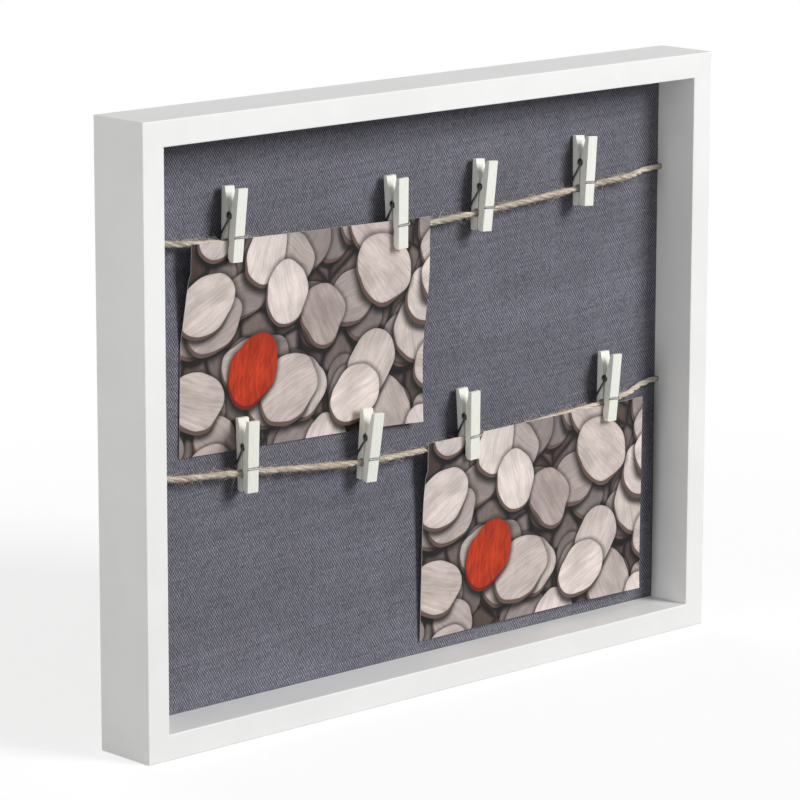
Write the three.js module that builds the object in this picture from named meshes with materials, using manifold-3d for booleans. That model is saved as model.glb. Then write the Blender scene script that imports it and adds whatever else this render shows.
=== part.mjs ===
// A box frame for several photographs: a fabric panel at the back of a deep white frame,
// two twines strung across it, and small spring pegs on the twines, some of them holding prints.
// Millimetres, +Z up, front towards -Y. The origin is at the foot, under the middle of the frame.
import * as THREE from "three";
import { mergeVertices } from "three/addons/utils/BufferGeometryUtils.js";
import Module from "manifold-3d";

const wasm = await Module();
wasm.setup();

// Frame
const FRAME_WIDTH = 375;
const FRAME_HEIGHT = 300;
const FRAME_DEPTH = 35;
const RAIL_FACE = 12.5; // width of a rail seen from the front
const PANEL_RECESS = 25; // from the front of the frame back to the fabric
const REBATE_WIDTH = 5; // ledge behind which the panel's margin lies
const MITRE_GAP = 0.04;

// Panel
const BOARD_THICKNESS = 3;
const FABRIC_THICKNESS = 0.6;
const HEM_WIDTH = 15; // fabric turned over the back of the board
const PANEL_CLEARANCE = 0.8; // between the panel's edge and the rebate

// Hardware behind the panel
const POINT_WIDTH = 8;
const POINT_THICKNESS = 0.5;
const POINT_GRIP = 4; // length of a point inside its rail
const POINT_REACH = 9; // length of a point over the panel
const POINT_FROM_CORNER = 80;
const NAIL_LEG = 6;
const NAIL_THICKNESS = 0.6;
const NAIL_DEPTH = 8;
const NAIL_INSET = 3.2; // from the outer faces of the frame
const HANGER_LENGTH = 46;
const HANGER_HEIGHT = 9;
const HANGER_THICKNESS = 0.8;
const HANGER_RISE = 1.8; // by which the middle stands off the board
const HANGER_FLAT = 8; // length of each flat end
const HANGER_RAMP = 4; // length of each slope up to the middle
const HANGER_FROM_EDGE = 36; // from the outer face of the frame to the hanger's middle
const TOOTH_COUNT = 7;
const TOOTH_PITCH = 3;
const TOOTH_HEIGHT = 2;
const RIVET_HEAD_RADIUS = 1.9;
const RIVET_HEAD_HEIGHT = 0.8;
const RIVET_CROWN_RADIUS = 1.5; // where the head's rim turns into its crown
const RIVET_CROWN_HEIGHT = 0.3;
const RIVET_SHANK_RADIUS = 0.8;
const RIVET_BITE = 2.2; // length of a shank inside the board

// Twine
const TWINE_DIAMETER = 2.2;
const TWINE_SIDES = 8;
const TWINE_STEP = 2.2; // between two rings of a twine, in diameters
const UPPER_TWINE_DROP = 47.5; // from the top of the opening to the upper anchor holes
const ANCHOR_DEPTH = 8; // anchor hole in a side rail
const ANCHOR_STANDOFF = 2; // from the fabric to the middle of an anchor hole
const TWINE_LIES = 12; // length beside each side rail that lies along the fabric
const TWINE_TURNS = 14; // length over which it then comes forward to the pegs
const TWINE_LEVELS = 8; // length over which it settles into the pegs' plane

// Pegs
const PEG_LENGTH = 35;
const PEG_WIDTH = 6.2;
const JAW_THICKNESS = 8.6; // both levers together, at the jaw
const HANDLE_THICKNESS = 11.6; // both levers together, outside to outside, at the handles
const HANDLE_TIP = 2.2; // one lever at the very top
const COIL_FROM_TOP = 13.3;
const GROOVE_FROM_TOP = 23.3;
const TWINE_FROM_TOP = 26.2;
const JAW_LEAD = 2; // sloping mouth at the tip of the jaw
const JAW_LEAD_DEPTH = 1.3;
const EMPTY_JAW_GAP = 0.4;
const HANDLE_CLEARANCE = 2.2; // from the handle of an upright peg to the fabric

// Springs
const WIRE_DIAMETER = 0.8;
const COIL_DIAMETER = 2.6; // at the middle of the wire
const WHOLE_TURNS = 3; // beside the part turn between the two arms
const STEPS_PER_TURN = 8;
const WIRE_SIDES = 5;
const WIRE_BEND = 0.9; // length of each leg of a bend at the grooves
const BEND_STEPS = 3;
const GAP_SAMPLES = 400; // places along a spring at which its gap to itself is measured

// Prints
const PRINT_WIDTH = 152;
const PRINT_HEIGHT = 102;
const PRINT_THICKNESS = 0.3;
const PRINT_PITCH = 1.5; // lean of a print in the jaws, in degrees
const PRINT_GRIPPED = 14; // height of the straight stretch in the jaws
const PRINT_ABOVE = 3; // height of a print's upper edge over the twine, at the middle of its pegs
const PRINT_STIFFNESS = 0.45; // share of a print's bend over which it keeps its direction at either end
const PRINT_STEPS = 20;
const PRINT_COLUMNS = 12;
const CURL_POWER = 2; // with which the curl of a corner grows across and down a print
const FOOT_SLOPE = 0.1; // slope of a print's foot that leans freely
const LOWER_PRINT_ROOM = 14.5; // from a print standing in the opening up to the lower anchor holes

// Fineness of round shapes
const ROUND_SIDES = 12; // holes, shanks and heads
const ARC_STEPS = 6; // grooves and notches

// Space that pieces keep where one goes into or past another
const FIT = 0.3;
const CORD_SLACK = 0.5; // between a twine and the bottom of its notch
const NOTCH_SLACK = 1; // above and below a twine in its notch

// Places of the prints: the middle of the upper edge, below the anchors of its twine, the turn in degrees,
// the distance of the lower left corner from the fabric, and how far the lower right corner curls forward.
const LEFT_PRINT = { x: -69, drop: 4.5, roll: 1.4, footGap: 0.75, curl: 3.5 };
const RIGHT_PRINT = { x: 82, drop: 7.3, roll: -0.7, footGap: 1.2, curl: 5.2 };

// A peg this far in from the left or the right edge of a print.
const fromLeft = (print, inset) => print.x - PRINT_WIDTH / 2 + inset;
const fromRight = (print, inset) => print.x + PRINT_WIDTH / 2 - inset;

const holding = { pitch: PRINT_PITCH, holds: true };

// Places of the pegs: along the twine from the middle of the frame, the sag of the twine there,
// and the turns of the peg in degrees.
const UPPER_PEGS = [
  { name: "peg_1", x: fromLeft(LEFT_PRINT, 25), sag: 4.5, yaw: 2, roll: 2.5, ...holding },
  { name: "peg_2", x: fromRight(LEFT_PRINT, 22), sag: 10.5, yaw: -2, roll: -3, ...holding },
  { name: "peg_3", x: 42, sag: 8.5, yaw: 0.5, pitch: 0.5, roll: 4, holds: false },
  { name: "peg_4", x: 113, sag: 4, yaw: -1, pitch: -3, roll: 4.5, holds: false },
];
const LOWER_PEGS = [
  { name: "peg_5", x: -111, sag: 4.7, yaw: -8, pitch: 1.5, roll: -1, holds: false },
  { name: "peg_6", x: -34, sag: 11.3, yaw: -6, pitch: 6, roll: 1.5, holds: false },
  { name: "peg_7", x: fromLeft(RIGHT_PRINT, 28), sag: 10.9, yaw: -2, roll: -3, ...holding },
  { name: "peg_8", x: fromRight(RIGHT_PRINT, 26), sag: 5.8, yaw: -1.5, roll: 2, ...holding },
];

// Planes and half sizes that follow from the values above
const frontY = -FRAME_DEPTH / 2;
const backY = FRAME_DEPTH / 2;
const fabricY = frontY + PANEL_RECESS;
const boardY = fabricY + FABRIC_THICKNESS;
const boardBackY = boardY + BOARD_THICKNESS;
const hemBackY = boardBackY + FABRIC_THICKNESS;
const rebateWall = RAIL_FACE - REBATE_WIDTH;
const openingHalf = FRAME_WIDTH / 2 - RAIL_FACE;
const panelHalfWidth = FRAME_WIDTH / 2 - rebateWall - PANEL_CLEARANCE;
const panelHalfHeight = FRAME_HEIGHT / 2 - rebateWall - PANEL_CLEARANCE;
const twineRadius = TWINE_DIAMETER / 2;
const wireRadius = WIRE_DIAMETER / 2;
const coilRadius = COIL_DIAMETER / 2;
const gripGap = PRINT_THICKNESS + 2 * FIT; // jaw gap of a peg that holds a print
const twineBehind = PRINT_THICKNESS / 2 + FIT + twineRadius; // behind the middle plane of a peg
const pegStandoff = HANDLE_THICKNESS / 2 + HANDLE_CLEARANCE; // fabric to the middle plane of a peg
const pegY = fabricY - pegStandoff;
const twineY = pegY + twineBehind;
const anchorY = fabricY - ANCHOR_STANDOFF;
const upperAnchorZ = FRAME_HEIGHT - RAIL_FACE - UPPER_TWINE_DROP;
const lowerAnchorZ = RAIL_FACE + PRINT_HEIGHT + LOWER_PRINT_ROOM;

// Heights on a peg, from the twine
const pegTop = TWINE_FROM_TOP;
const pegFoot = TWINE_FROM_TOP - PEG_LENGTH;
const coilZ = TWINE_FROM_TOP - COIL_FROM_TOP;
const grooveZ = TWINE_FROM_TOP - GROOVE_FROM_TOP;

const radians = THREE.MathUtils.degToRad;

// Finishes
const paint = () => finish(0xf0efeb, 0.5, 0);
const cloth = () => finish(0x6e717b, 0.95, 0);
const hardboard = () => finish(0x9a7a56, 0.85, 0);
const zinc = () => finish(0xb4b7ba, 0.35, 1);
const jute = () => finish(0xb39a72, 0.95, 0);
const paintedWood = () => finish(0xecebe1, 0.6, 0);
const springSteel = () => finish(0x5c5a55, 0.3, 1);
const photoPaper = () => finish(0xb3a59c, 0.35, 0);

function finish(color, roughness, metalness) {
  return new THREE.MeshStandardMaterial({ color, roughness, metalness });
}

function mesh(name, geometry, material) {
  const made = new THREE.Mesh(geometry, material);
  made.name = name;
  return made;
}

// A closed geometry as a solid that can be cut.
function solidOf(geometry) {
  const bare = geometry.clone();
  bare.deleteAttribute("normal");
  bare.deleteAttribute("uv");
  const merged = mergeVertices(bare);
  return new wasm.Manifold(
    new wasm.Mesh({
      numProp: 3,
      vertProperties: merged.attributes.position.array,
      triVerts: new Uint32Array(merged.index.array),
    }),
  );
}

// A geometry with every cutter taken out of it.
function cut(geometry, cutters) {
  const left = cutters.reduce((solid, cutter) => solid.subtract(solidOf(cutter)), solidOf(geometry));
  const { vertProperties, triVerts } = left.getMesh();
  const made = new THREE.BufferGeometry();
  made.setAttribute("position", new THREE.BufferAttribute(vertProperties, 3));
  made.setIndex(new THREE.BufferAttribute(triVerts, 1));
  made.computeVertexNormals();
  return made;
}

function box(x0, x1, y0, y1, z0, z1) {
  const made = new THREE.BoxGeometry(x1 - x0, y1 - y0, z1 - z0);
  return made.translate((x0 + x1) / 2, (y0 + y1) / 2, (z0 + z1) / 2);
}

const outline = (points) => new THREE.Shape(points.map(([a, b]) => new THREE.Vector2(a, b)));

// A side profile in Y and Z, carried along X and centred there.
function carriedAlongX(points, length, steps = 1) {
  const made = new THREE.ExtrudeGeometry(outline(points), { depth: length, steps, bevelEnabled: false });
  const turn = new THREE.Matrix4().makeBasis(
    new THREE.Vector3(0, 1, 0),
    new THREE.Vector3(0, 0, 1),
    new THREE.Vector3(1, 0, 0),
  );
  return made.applyMatrix4(turn).translate(-length / 2, 0, 0);
}

// An outline in X and Z, as a plate between two Y planes.
function plate(points, nearY, farY) {
  const made = new THREE.ExtrudeGeometry(outline(points), { depth: farY - nearY, bevelEnabled: false });
  return made.rotateX(Math.PI / 2).translate(0, farY, 0);
}

// A round bar along Y from nearY to farY.
function pinAlongY(radius, nearY, farY, x, z) {
  const made = new THREE.CylinderGeometry(radius, radius, farY - nearY, ROUND_SIDES);
  return made.translate(x, (nearY + farY) / 2, z);
}

// Points on an arc, both ends included.
function arc(y, z, radius, from, to, steps) {
  return Array.from({ length: steps + 1 }, (_, i) => {
    const angle = from + ((to - from) * i) / steps;
    return [y + radius * Math.cos(angle), z + radius * Math.sin(angle)];
  });
}

// Rails. Each is drawn lying along X with its outer face at Z = 0, and its group turns it into place.

// Angle across a mitre, with its corner near the outer corner of the frame.
function nailOutline(margin) {
  const near = NAIL_INSET - margin;
  const far = NAIL_INSET + NAIL_THICKNESS + margin;
  const end = NAIL_INSET + NAIL_LEG + margin;
  return [[near, near], [end, near], [end, far], [far, far], [far, end], [near, end]];
}

function railGeometry(length, anchors) {
  const section = [
    [frontY, 0],
    [backY, 0],
    [backY, rebateWall],
    [fabricY, rebateWall],
    [fabricY, RAIL_FACE],
    [frontY, RAIL_FACE],
  ];
  const bar = carriedAlongX(section, length);
  const place = bar.attributes.position;
  for (let i = 0; i < place.count; i++) {
    const mitred = length / 2 - place.getZ(i) - MITRE_GAP / 2;
    place.setX(i, Math.sign(place.getX(i)) * mitred);
  }
  const cutters = [];
  for (const side of [-1, 1]) {
    const slot = nailOutline(FIT).map(([x, z]) => [side * (length / 2 - x), z]);
    cutters.push(plate(slot, backY - NAIL_DEPTH - FIT, backY + FIT));
    const middle = side * (length / 2 - POINT_FROM_CORNER);
    const half = POINT_WIDTH / 2 + FIT;
    const slotFoot = rebateWall - POINT_GRIP - FIT;
    const slotBack = hemBackY + POINT_THICKNESS + FIT;
    cutters.push(box(middle - half, middle + half, hemBackY - FIT, slotBack, slotFoot, rebateWall + FIT));
  }
  for (const x of anchors) {
    const radius = twineRadius + FIT;
    const hole = new THREE.CylinderGeometry(radius, radius, 2 * ANCHOR_DEPTH, ROUND_SIDES);
    cutters.push(hole.rotateX(Math.PI / 2).translate(x, anchorY, RAIL_FACE));
  }
  return cut(bar, cutters);
}

function pointGeometry(x) {
  const half = POINT_WIDTH / 2;
  const foot = rebateWall - POINT_GRIP;
  const shoulder = foot + POINT_GRIP / 2;
  const end = rebateWall + POINT_REACH;
  const tongue = [[x, foot], [x + half, shoulder], [x + half, end], [x - half, end], [x - half, shoulder]];
  return plate(tongue, hemBackY, hemBackY + POINT_THICKNESS);
}

function railGroup(side, corner, length, anchors, place, turn) {
  const group = new THREE.Group();
  group.position.set(...place);
  group.rotation.y = turn;
  group.add(mesh(side + "_rail", railGeometry(length, anchors), paint()));
  const nail = plate(nailOutline(0), backY - NAIL_DEPTH, backY).translate(-length / 2, 0, 0);
  group.add(mesh("corner_nail_" + corner, nail, zinc()));
  const reach = length / 2 - POINT_FROM_CORNER;
  group.add(mesh("point_" + side + "_a", pointGeometry(-reach), zinc()));
  group.add(mesh("point_" + side + "_b", pointGeometry(reach), zinc()));
  return group;
}

function frameGroup() {
  const group = new THREE.Group();
  const quarter = Math.PI / 2;
  const middle = FRAME_HEIGHT / 2;
  const leftHoles = [middle - upperAnchorZ, middle - lowerAnchorZ];
  const rightHoles = [upperAnchorZ - middle, lowerAnchorZ - middle];
  group.add(
    railGroup("bottom", "bottom_left", FRAME_WIDTH, [], [0, 0, 0], 0),
    railGroup("right", "bottom_right", FRAME_HEIGHT, rightHoles, [FRAME_WIDTH / 2, 0, middle], -quarter),
    railGroup("top", "top_right", FRAME_WIDTH, [], [0, 0, FRAME_HEIGHT], Math.PI),
    railGroup("left", "top_left", FRAME_HEIGHT, leftHoles, [-FRAME_WIDTH / 2, 0, middle], quarter),
  );
  return group;
}

// Panel: a board, and the fabric over its front, round its edges and turned over its back

// The two rivets of a hanger stand this far from its middle.
const rivetOffset = (HANGER_LENGTH - HANGER_FLAT) / 2;

const hangerPlaces = [
  { name: "hanger_top", x: 0, z: FRAME_HEIGHT - HANGER_FROM_EDGE, turn: 0 },
  { name: "hanger_side", x: FRAME_WIDTH / 2 - HANGER_FROM_EDGE, z: FRAME_HEIGHT / 2, turn: Math.PI / 2 },
];

function boardGeometry() {
  const halfWidth = panelHalfWidth - FABRIC_THICKNESS;
  const halfHeight = panelHalfHeight - FABRIC_THICKNESS;
  const middle = FRAME_HEIGHT / 2;
  const slab = box(-halfWidth, halfWidth, boardY, boardBackY, middle - halfHeight, middle + halfHeight);
  const holes = hangerPlaces.flatMap(({ x, z, turn }) =>
    [-rivetOffset, rivetOffset].map((offset) =>
      pinAlongY(
        RIVET_SHANK_RADIUS + FIT,
        boardBackY - RIVET_BITE - FIT,
        boardBackY + FIT,
        x + offset * Math.cos(turn),
        z - offset * Math.sin(turn),
      ),
    ),
  );
  return cut(slab, holes);
}

function fabricGeometry() {
  const middle = FRAME_HEIGHT / 2;
  const layer = (inset, y0, y1) =>
    box(
      inset - panelHalfWidth,
      panelHalfWidth - inset,
      y0,
      y1,
      middle - panelHalfHeight + inset,
      middle + panelHalfHeight - inset,
    );
  const wrapped = layer(0, fabricY, hemBackY);
  const board = layer(FABRIC_THICKNESS, boardY, boardBackY);
  const window = layer(HEM_WIDTH, boardY, hemBackY + FIT);
  return cut(wrapped, [board, window]);
}

// Toothed strip with two flat ends and a raised middle, about its own middle on the board's back.
function hangerGeometry() {
  const half = HANGER_LENGTH / 2;
  const flat = half - HANGER_FLAT;
  const raised = flat - HANGER_RAMP;
  const near = [[half, 0], [flat, 0], [raised, HANGER_RISE], [-raised, HANGER_RISE], [-flat, 0], [-half, 0]];
  const far = near.map(([x, y]) => [x, y + HANGER_THICKNESS]).reverse();
  const strip = new THREE.ExtrudeGeometry(outline([...near, ...far]), {
    depth: HANGER_HEIGHT,
    bevelEnabled: false,
  }).translate(0, 0, -HANGER_HEIGHT / 2);
  const top = HANGER_RISE + HANGER_THICKNESS + FIT;
  const foot = -HANGER_HEIGHT / 2;
  const cutters = Array.from({ length: TOOTH_COUNT }, (_, i) => {
    const x = (i - (TOOTH_COUNT - 1) / 2) * TOOTH_PITCH;
    const notch = [
      [x - TOOTH_PITCH / 2, foot - FIT],
      [x + TOOTH_PITCH / 2, foot - FIT],
      [x, foot + TOOTH_HEIGHT],
    ];
    return plate(notch, -FIT, top);
  });
  for (const x of [-rivetOffset, rivetOffset])
    cutters.push(pinAlongY(RIVET_SHANK_RADIUS + FIT, -FIT, top, x, 0));
  return cut(strip, cutters);
}

function rivetGeometry() {
  const seat = HANGER_THICKNESS + FIT;
  const crown = seat + RIVET_HEAD_HEIGHT;
  const profile = [
    [0, -RIVET_BITE],
    [RIVET_SHANK_RADIUS, -RIVET_BITE],
    [RIVET_SHANK_RADIUS, seat],
    [RIVET_HEAD_RADIUS, seat],
    [RIVET_CROWN_RADIUS, crown - RIVET_CROWN_HEIGHT],
    [0, crown],
  ];
  const points = profile.map(([r, y]) => new THREE.Vector2(r, y));
  return new THREE.LatheGeometry(points, ROUND_SIDES);
}

function panelGroup() {
  const group = new THREE.Group();
  group.add(mesh("backing_board", boardGeometry(), hardboard()));
  group.add(mesh("fabric_cover", fabricGeometry(), cloth()));
  for (const { name, x, z, turn } of hangerPlaces) {
    const hanger = new THREE.Group();
    hanger.position.set(x, boardBackY, z);
    hanger.rotation.y = turn;
    const strip = mesh(name, hangerGeometry(), zinc());
    strip.position.y = FIT;
    hanger.add(strip);
    [-rivetOffset, rivetOffset].forEach((offset, i) => {
      const rivet = mesh(name + "_rivet_" + "ab"[i], rivetGeometry(), zinc());
      rivet.position.set(offset, FIT, 0);
      hanger.add(rivet);
    });
    group.add(hanger);
  }
  return group;
}

// Twines: from an anchor hole along the fabric, forward through the pegs, and back to the other side

function twineCurve(anchorZ, pegs) {
  const first = pegs[0];
  const last = pegs[pegs.length - 1];
  const end = openingHalf + ANCHOR_DEPTH - FIT;
  const lies = openingHalf - TWINE_LIES;
  const forward = lies - TWINE_TURNS;
  const level = forward - TWINE_LEVELS;
  const sagAt = (x, peg) => (peg.sag * (openingHalf - Math.abs(x))) / (openingHalf - Math.abs(peg.x));
  const points = [
    [-end, anchorY, anchorZ],
    [-openingHalf, anchorY, anchorZ],
    [-lies, anchorY, anchorZ - sagAt(lies, first)],
    [-forward, twineY, anchorZ - sagAt(forward, first)],
    [-level, twineY, anchorZ - sagAt(level, first)],
    ...pegs.map((peg) => [peg.x, twineY, anchorZ - peg.sag]),
    [level, twineY, anchorZ - sagAt(level, last)],
    [forward, twineY, anchorZ - sagAt(forward, last)],
    [lies, anchorY, anchorZ - sagAt(lies, last)],
    [openingHalf, anchorY, anchorZ],
    [end, anchorY, anchorZ],
  ];
  return new THREE.CatmullRomCurve3(points.map((point) => new THREE.Vector3(...point)));
}

function twineGeometry(curve) {
  const section = outline(arc(0, 0, twineRadius, 0, 2 * Math.PI, TWINE_SIDES).slice(0, -1));
  const steps = Math.round(curve.getLength() / (TWINE_STEP * TWINE_DIAMETER));
  return new THREE.ExtrudeGeometry(section, { steps, extrudePath: curve, bevelEnabled: false });
}

// Pegs. Each is drawn upright about the middle of its twine, with its middle plane in front of it.

// Outer face of a lever at a height, from the middle plane.
function outerFace(z) {
  return (JAW_THICKNESS + ((HANDLE_THICKNESS - JAW_THICKNESS) * (z - pegFoot)) / PEG_LENGTH) / 2;
}

// The notch for the twine, from above it to below it, from the inner face of a lever.
function rearNotch(inner) {
  const half = twineRadius + NOTCH_SLACK;
  const deep = twineBehind + twineRadius + CORD_SLACK;
  const round = arc(deep - half, 0, half, Math.PI / 2, -Math.PI / 2, ARC_STEPS);
  return [[inner, half], ...round, [inner, -half]];
}

function frontNotch(inner) {
  const half = twineRadius + NOTCH_SLACK;
  const deep = twineRadius - twineBehind + FIT + CORD_SLACK + PRINT_THICKNESS;
  const radius = (half * half + deep * deep) / (2 * deep);
  const spread = Math.asin(half / radius);
  return arc(inner + deep - radius, 0, radius, spread, -spread, ARC_STEPS);
}

// Side profile of a lever: up its outer face, over the handle, and down its inner face.
function leverProfile(gap, notch) {
  const inner = gap / 2;
  const slope = Math.atan2((HANDLE_THICKNESS - JAW_THICKNESS) / 2, PEG_LENGTH);
  const grooveRadius = wireRadius + FIT;
  const notchRadius = coilRadius + wireRadius + FIT;
  const across = Math.PI / 2;
  const foot = -across - slope;
  const groove = arc(outerFace(grooveZ), grooveZ, grooveRadius, foot, foot - Math.PI, ARC_STEPS);
  const mouth = Math.acos((inner + FIT) / notchRadius);
  const throat = -Math.acos(inner / notchRadius);
  return [
    [inner + JAW_LEAD_DEPTH, pegFoot],
    [outerFace(pegFoot), pegFoot],
    ...groove,
    [outerFace(pegTop), pegTop],
    [outerFace(pegTop) - HANDLE_TIP, pegTop],
    ...arc(0, coilZ, notchRadius, mouth, throat, ARC_STEPS),
    ...notch(inner),
    [inner, pegFoot + JAW_LEAD],
  ];
}

function leverGeometry(side, gap) {
  const profile = leverProfile(gap, side > 0 ? rearNotch : frontNotch);
  const placed = profile.map(([y, z]) => [side * y - twineBehind, z]);
  return carriedAlongX(placed, PEG_WIDTH);
}

// Points of a rounded corner between two straight runs.
function bend(from, corner, to) {
  const start = corner.clone().add(from.clone().sub(corner).setLength(WIRE_BEND));
  const finishPoint = corner.clone().add(to.clone().sub(corner).setLength(WIRE_BEND));
  return new THREE.QuadraticBezierCurve3(start, corner, finishPoint).getPoints(BEND_STEPS);
}

// Middle of the spring wire: across the rear groove, up to the coil, round it, and down to the front groove.
function springPath() {
  const sideX = PEG_WIDTH / 2 + FIT + wireRadius;
  const grooveY = outerFace(grooveZ);
  const reach = Math.hypot(grooveY, coilZ - grooveZ);
  const towards = Math.atan2(grooveZ - coilZ, grooveY);
  const start = 2 * Math.PI + towards - Math.acos(coilRadius / reach);
  const finishAngle = Math.PI - start - 2 * Math.PI * WHOLE_TURNS;
  const sweep = finishAngle - start;
  const steps = Math.ceil((Math.abs(sweep) / (2 * Math.PI)) * STEPS_PER_TURN);
  const coil = Array.from({ length: steps + 1 }, (_, i) => {
    const angle = start + (sweep * i) / steps;
    const x = sideX * ((2 * i) / steps - 1);
    return new THREE.Vector3(x, coilRadius * Math.cos(angle), coilZ + coilRadius * Math.sin(angle));
  });
  const tail = new THREE.Vector3(PEG_WIDTH / 2, grooveY, grooveZ);
  const corner = new THREE.Vector3(-sideX, grooveY, grooveZ);
  const rearArm = [tail, ...bend(tail, corner, coil[0])];
  const turned = (point) => new THREE.Vector3(-point.x, -point.y, point.z);
  const frontArm = rearArm.map(turned).reverse();
  const path = [...rearArm, ...coil, ...frontArm];
  return path.map((point) => point.add(new THREE.Vector3(0, -twineBehind, 0)));
}

// Tube of wire through the points, its rings carried along without twist, with a cap at each end.
function wireGeometry(path) {
  const positions = [];
  const index = [];
  const normal = new THREE.Vector3(0, 0, 1);
  path.forEach((point, i) => {
    const next = path[Math.min(i + 1, path.length - 1)];
    const tangent = next.clone().sub(path[Math.max(i - 1, 0)]).normalize();
    normal.addScaledVector(tangent, -normal.dot(tangent)).normalize();
    const side = tangent.clone().cross(normal);
    for (let k = 0; k < WIRE_SIDES; k++) {
      const angle = (2 * Math.PI * k) / WIRE_SIDES;
      const spoke = normal.clone().multiplyScalar(Math.cos(angle)).addScaledVector(side, Math.sin(angle));
      positions.push(...point.clone().addScaledVector(spoke, wireRadius).toArray());
    }
  });
  const last = (path.length - 1) * WIRE_SIDES;
  for (let ring = 0; ring < last; ring += WIRE_SIDES)
    for (let k = 0; k < WIRE_SIDES; k++) {
      const a = ring + k;
      const b = ring + ((k + 1) % WIRE_SIDES);
      index.push(a, b, b + WIRE_SIDES, a, b + WIRE_SIDES, a + WIRE_SIDES);
    }
  for (let k = 1; k < WIRE_SIDES - 1; k++) {
    index.push(0, k + 1, k);
    index.push(last, last + k, last + k + 1);
  }
  const made = new THREE.BufferGeometry();
  made.setAttribute("position", new THREE.Float32BufferAttribute(positions, 3));
  made.setIndex(index);
  made.computeVertexNormals();
  return made;
}

// Least gap of a wire to itself, on points along it that are more than half a turn apart.
function leastGap(path) {
  const along = new THREE.CurvePath();
  for (let i = 1; i < path.length; i++) along.add(new THREE.LineCurve3(path[i - 1], path[i]));
  const length = along.getLength();
  const samples = along.getSpacedPoints(GAP_SAMPLES);
  const apart = Math.ceil((GAP_SAMPLES * Math.PI * coilRadius) / length);
  let least = Infinity;
  for (let i = 0; i < samples.length; i++)
    for (let j = i + apart; j < samples.length; j++)
      least = Math.min(least, samples[i].distanceTo(samples[j]));
  return least - WIRE_DIAMETER;
}

const springWire = springPath();
console.log("least gap of a spring to itself: " + leastGap(springWire).toFixed(2) + " mm");

function pegGroup(peg, anchorZ) {
  const group = new THREE.Group();
  group.position.set(peg.x, twineY, anchorZ - peg.sag);
  group.rotation.set(radians(peg.pitch), radians(peg.roll), radians(peg.yaw), "ZXY");
  const gap = peg.holds ? gripGap : EMPTY_JAW_GAP;
  group.add(mesh(peg.name + "_rear_lever", leverGeometry(1, gap), paintedWood()));
  group.add(mesh(peg.name + "_front_lever", leverGeometry(-1, gap), paintedWood()));
  group.add(mesh(peg.name + "_spring", wireGeometry(springWire), springSteel()));
  return group;
}

// Prints: sheets that are straight in the jaws and bend back towards the fabric below. The foot of one that
// reaches behind the pegs below it is flat to the height given, and another's leans freely.

// Curls the lower right corner of a print forward.
function curled(sheet, curl) {
  const place = sheet.attributes.position;
  for (let i = 0; i < place.count; i++) {
    const across = (place.getX(i) + PRINT_WIDTH / 2) / PRINT_WIDTH;
    const down = Math.max(0, -place.getZ(i) - PRINT_GRIPPED) / (PRINT_HEIGHT - PRINT_GRIPPED);
    place.setY(i, place.getY(i) - curl * (across * down) ** CURL_POWER);
  }
  return sheet;
}

function printMesh(name, place, anchorZ, flat) {
  const lean = Math.tan(radians(PRINT_PITCH));
  const top = new THREE.Vector2(-lean * PRINT_ABOVE, 0);
  const jaw = new THREE.Vector2(lean * (PRINT_GRIPPED - PRINT_ABOVE), -PRINT_GRIPPED);
  const foot = new THREE.Vector2(pegStandoff - place.footGap, -PRINT_HEIGHT);
  const bendEnd = new THREE.Vector2(foot.x, foot.y + flat);
  const stiff = PRINT_STIFFNESS * (jaw.y - bendEnd.y);
  const jawPull = jaw.clone().add(jaw.clone().sub(top).setLength(stiff));
  const footPull = new THREE.Vector2(bendEnd.x - (flat > 0 ? 0 : FOOT_SLOPE * stiff), bendEnd.y + stiff);
  const curve = new THREE.CubicBezierCurve(jaw, jawPull, footPull, bendEnd);
  const middle = [top, ...curve.getPoints(PRINT_STEPS)];
  if (flat > 0) middle.push(foot);
  const half = PRINT_THICKNESS / 2;
  const front = middle.map(({ x, y }) => [x - half, y]);
  const back = middle.map(({ x, y }) => [x + half, y]).reverse();
  const flatSheet = carriedAlongX([...front, ...back], PRINT_WIDTH, PRINT_COLUMNS);
  const sheet = mesh(name, curled(flatSheet, place.curl), photoPaper());
  sheet.position.set(place.x, pegY, anchorZ - place.drop);
  sheet.rotation.y = radians(place.roll);
  return sheet;
}

// Height of the left print's foot that lies behind the pegs on the lower twine.
const leftFootZ = upperAnchorZ - LEFT_PRINT.drop - PRINT_HEIGHT;
const behindPegs = Math.max(0, lowerAnchorZ + pegTop - leftFootZ);

const photoFrame = new THREE.Group();
photoFrame.add(frameGroup(), panelGroup());
photoFrame.add(mesh("twine_upper", twineGeometry(twineCurve(upperAnchorZ, UPPER_PEGS)), jute()));
photoFrame.add(mesh("twine_lower", twineGeometry(twineCurve(lowerAnchorZ, LOWER_PEGS)), jute()));
for (const peg of UPPER_PEGS) photoFrame.add(pegGroup(peg, upperAnchorZ));
for (const peg of LOWER_PEGS) photoFrame.add(pegGroup(peg, lowerAnchorZ));
photoFrame.add(printMesh("print_left", LEFT_PRINT, upperAnchorZ, behindPegs));
photoFrame.add(printMesh("print_right", RIGHT_PRINT, lowerAnchorZ, 0));

export default photoFrame;
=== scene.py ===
"""Dresses a multi-photo frame: painted rails, a cloth panel, jute twines, spring pegs and two prints."""
import logging
import math
import random
from contextlib import contextmanager
from dataclasses import dataclass
from enum import Enum
from typing import Any, Callable, Iterator, Sequence

import bmesh
import bpy
import numpy as np
from mathutils import Matrix, Vector


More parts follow.
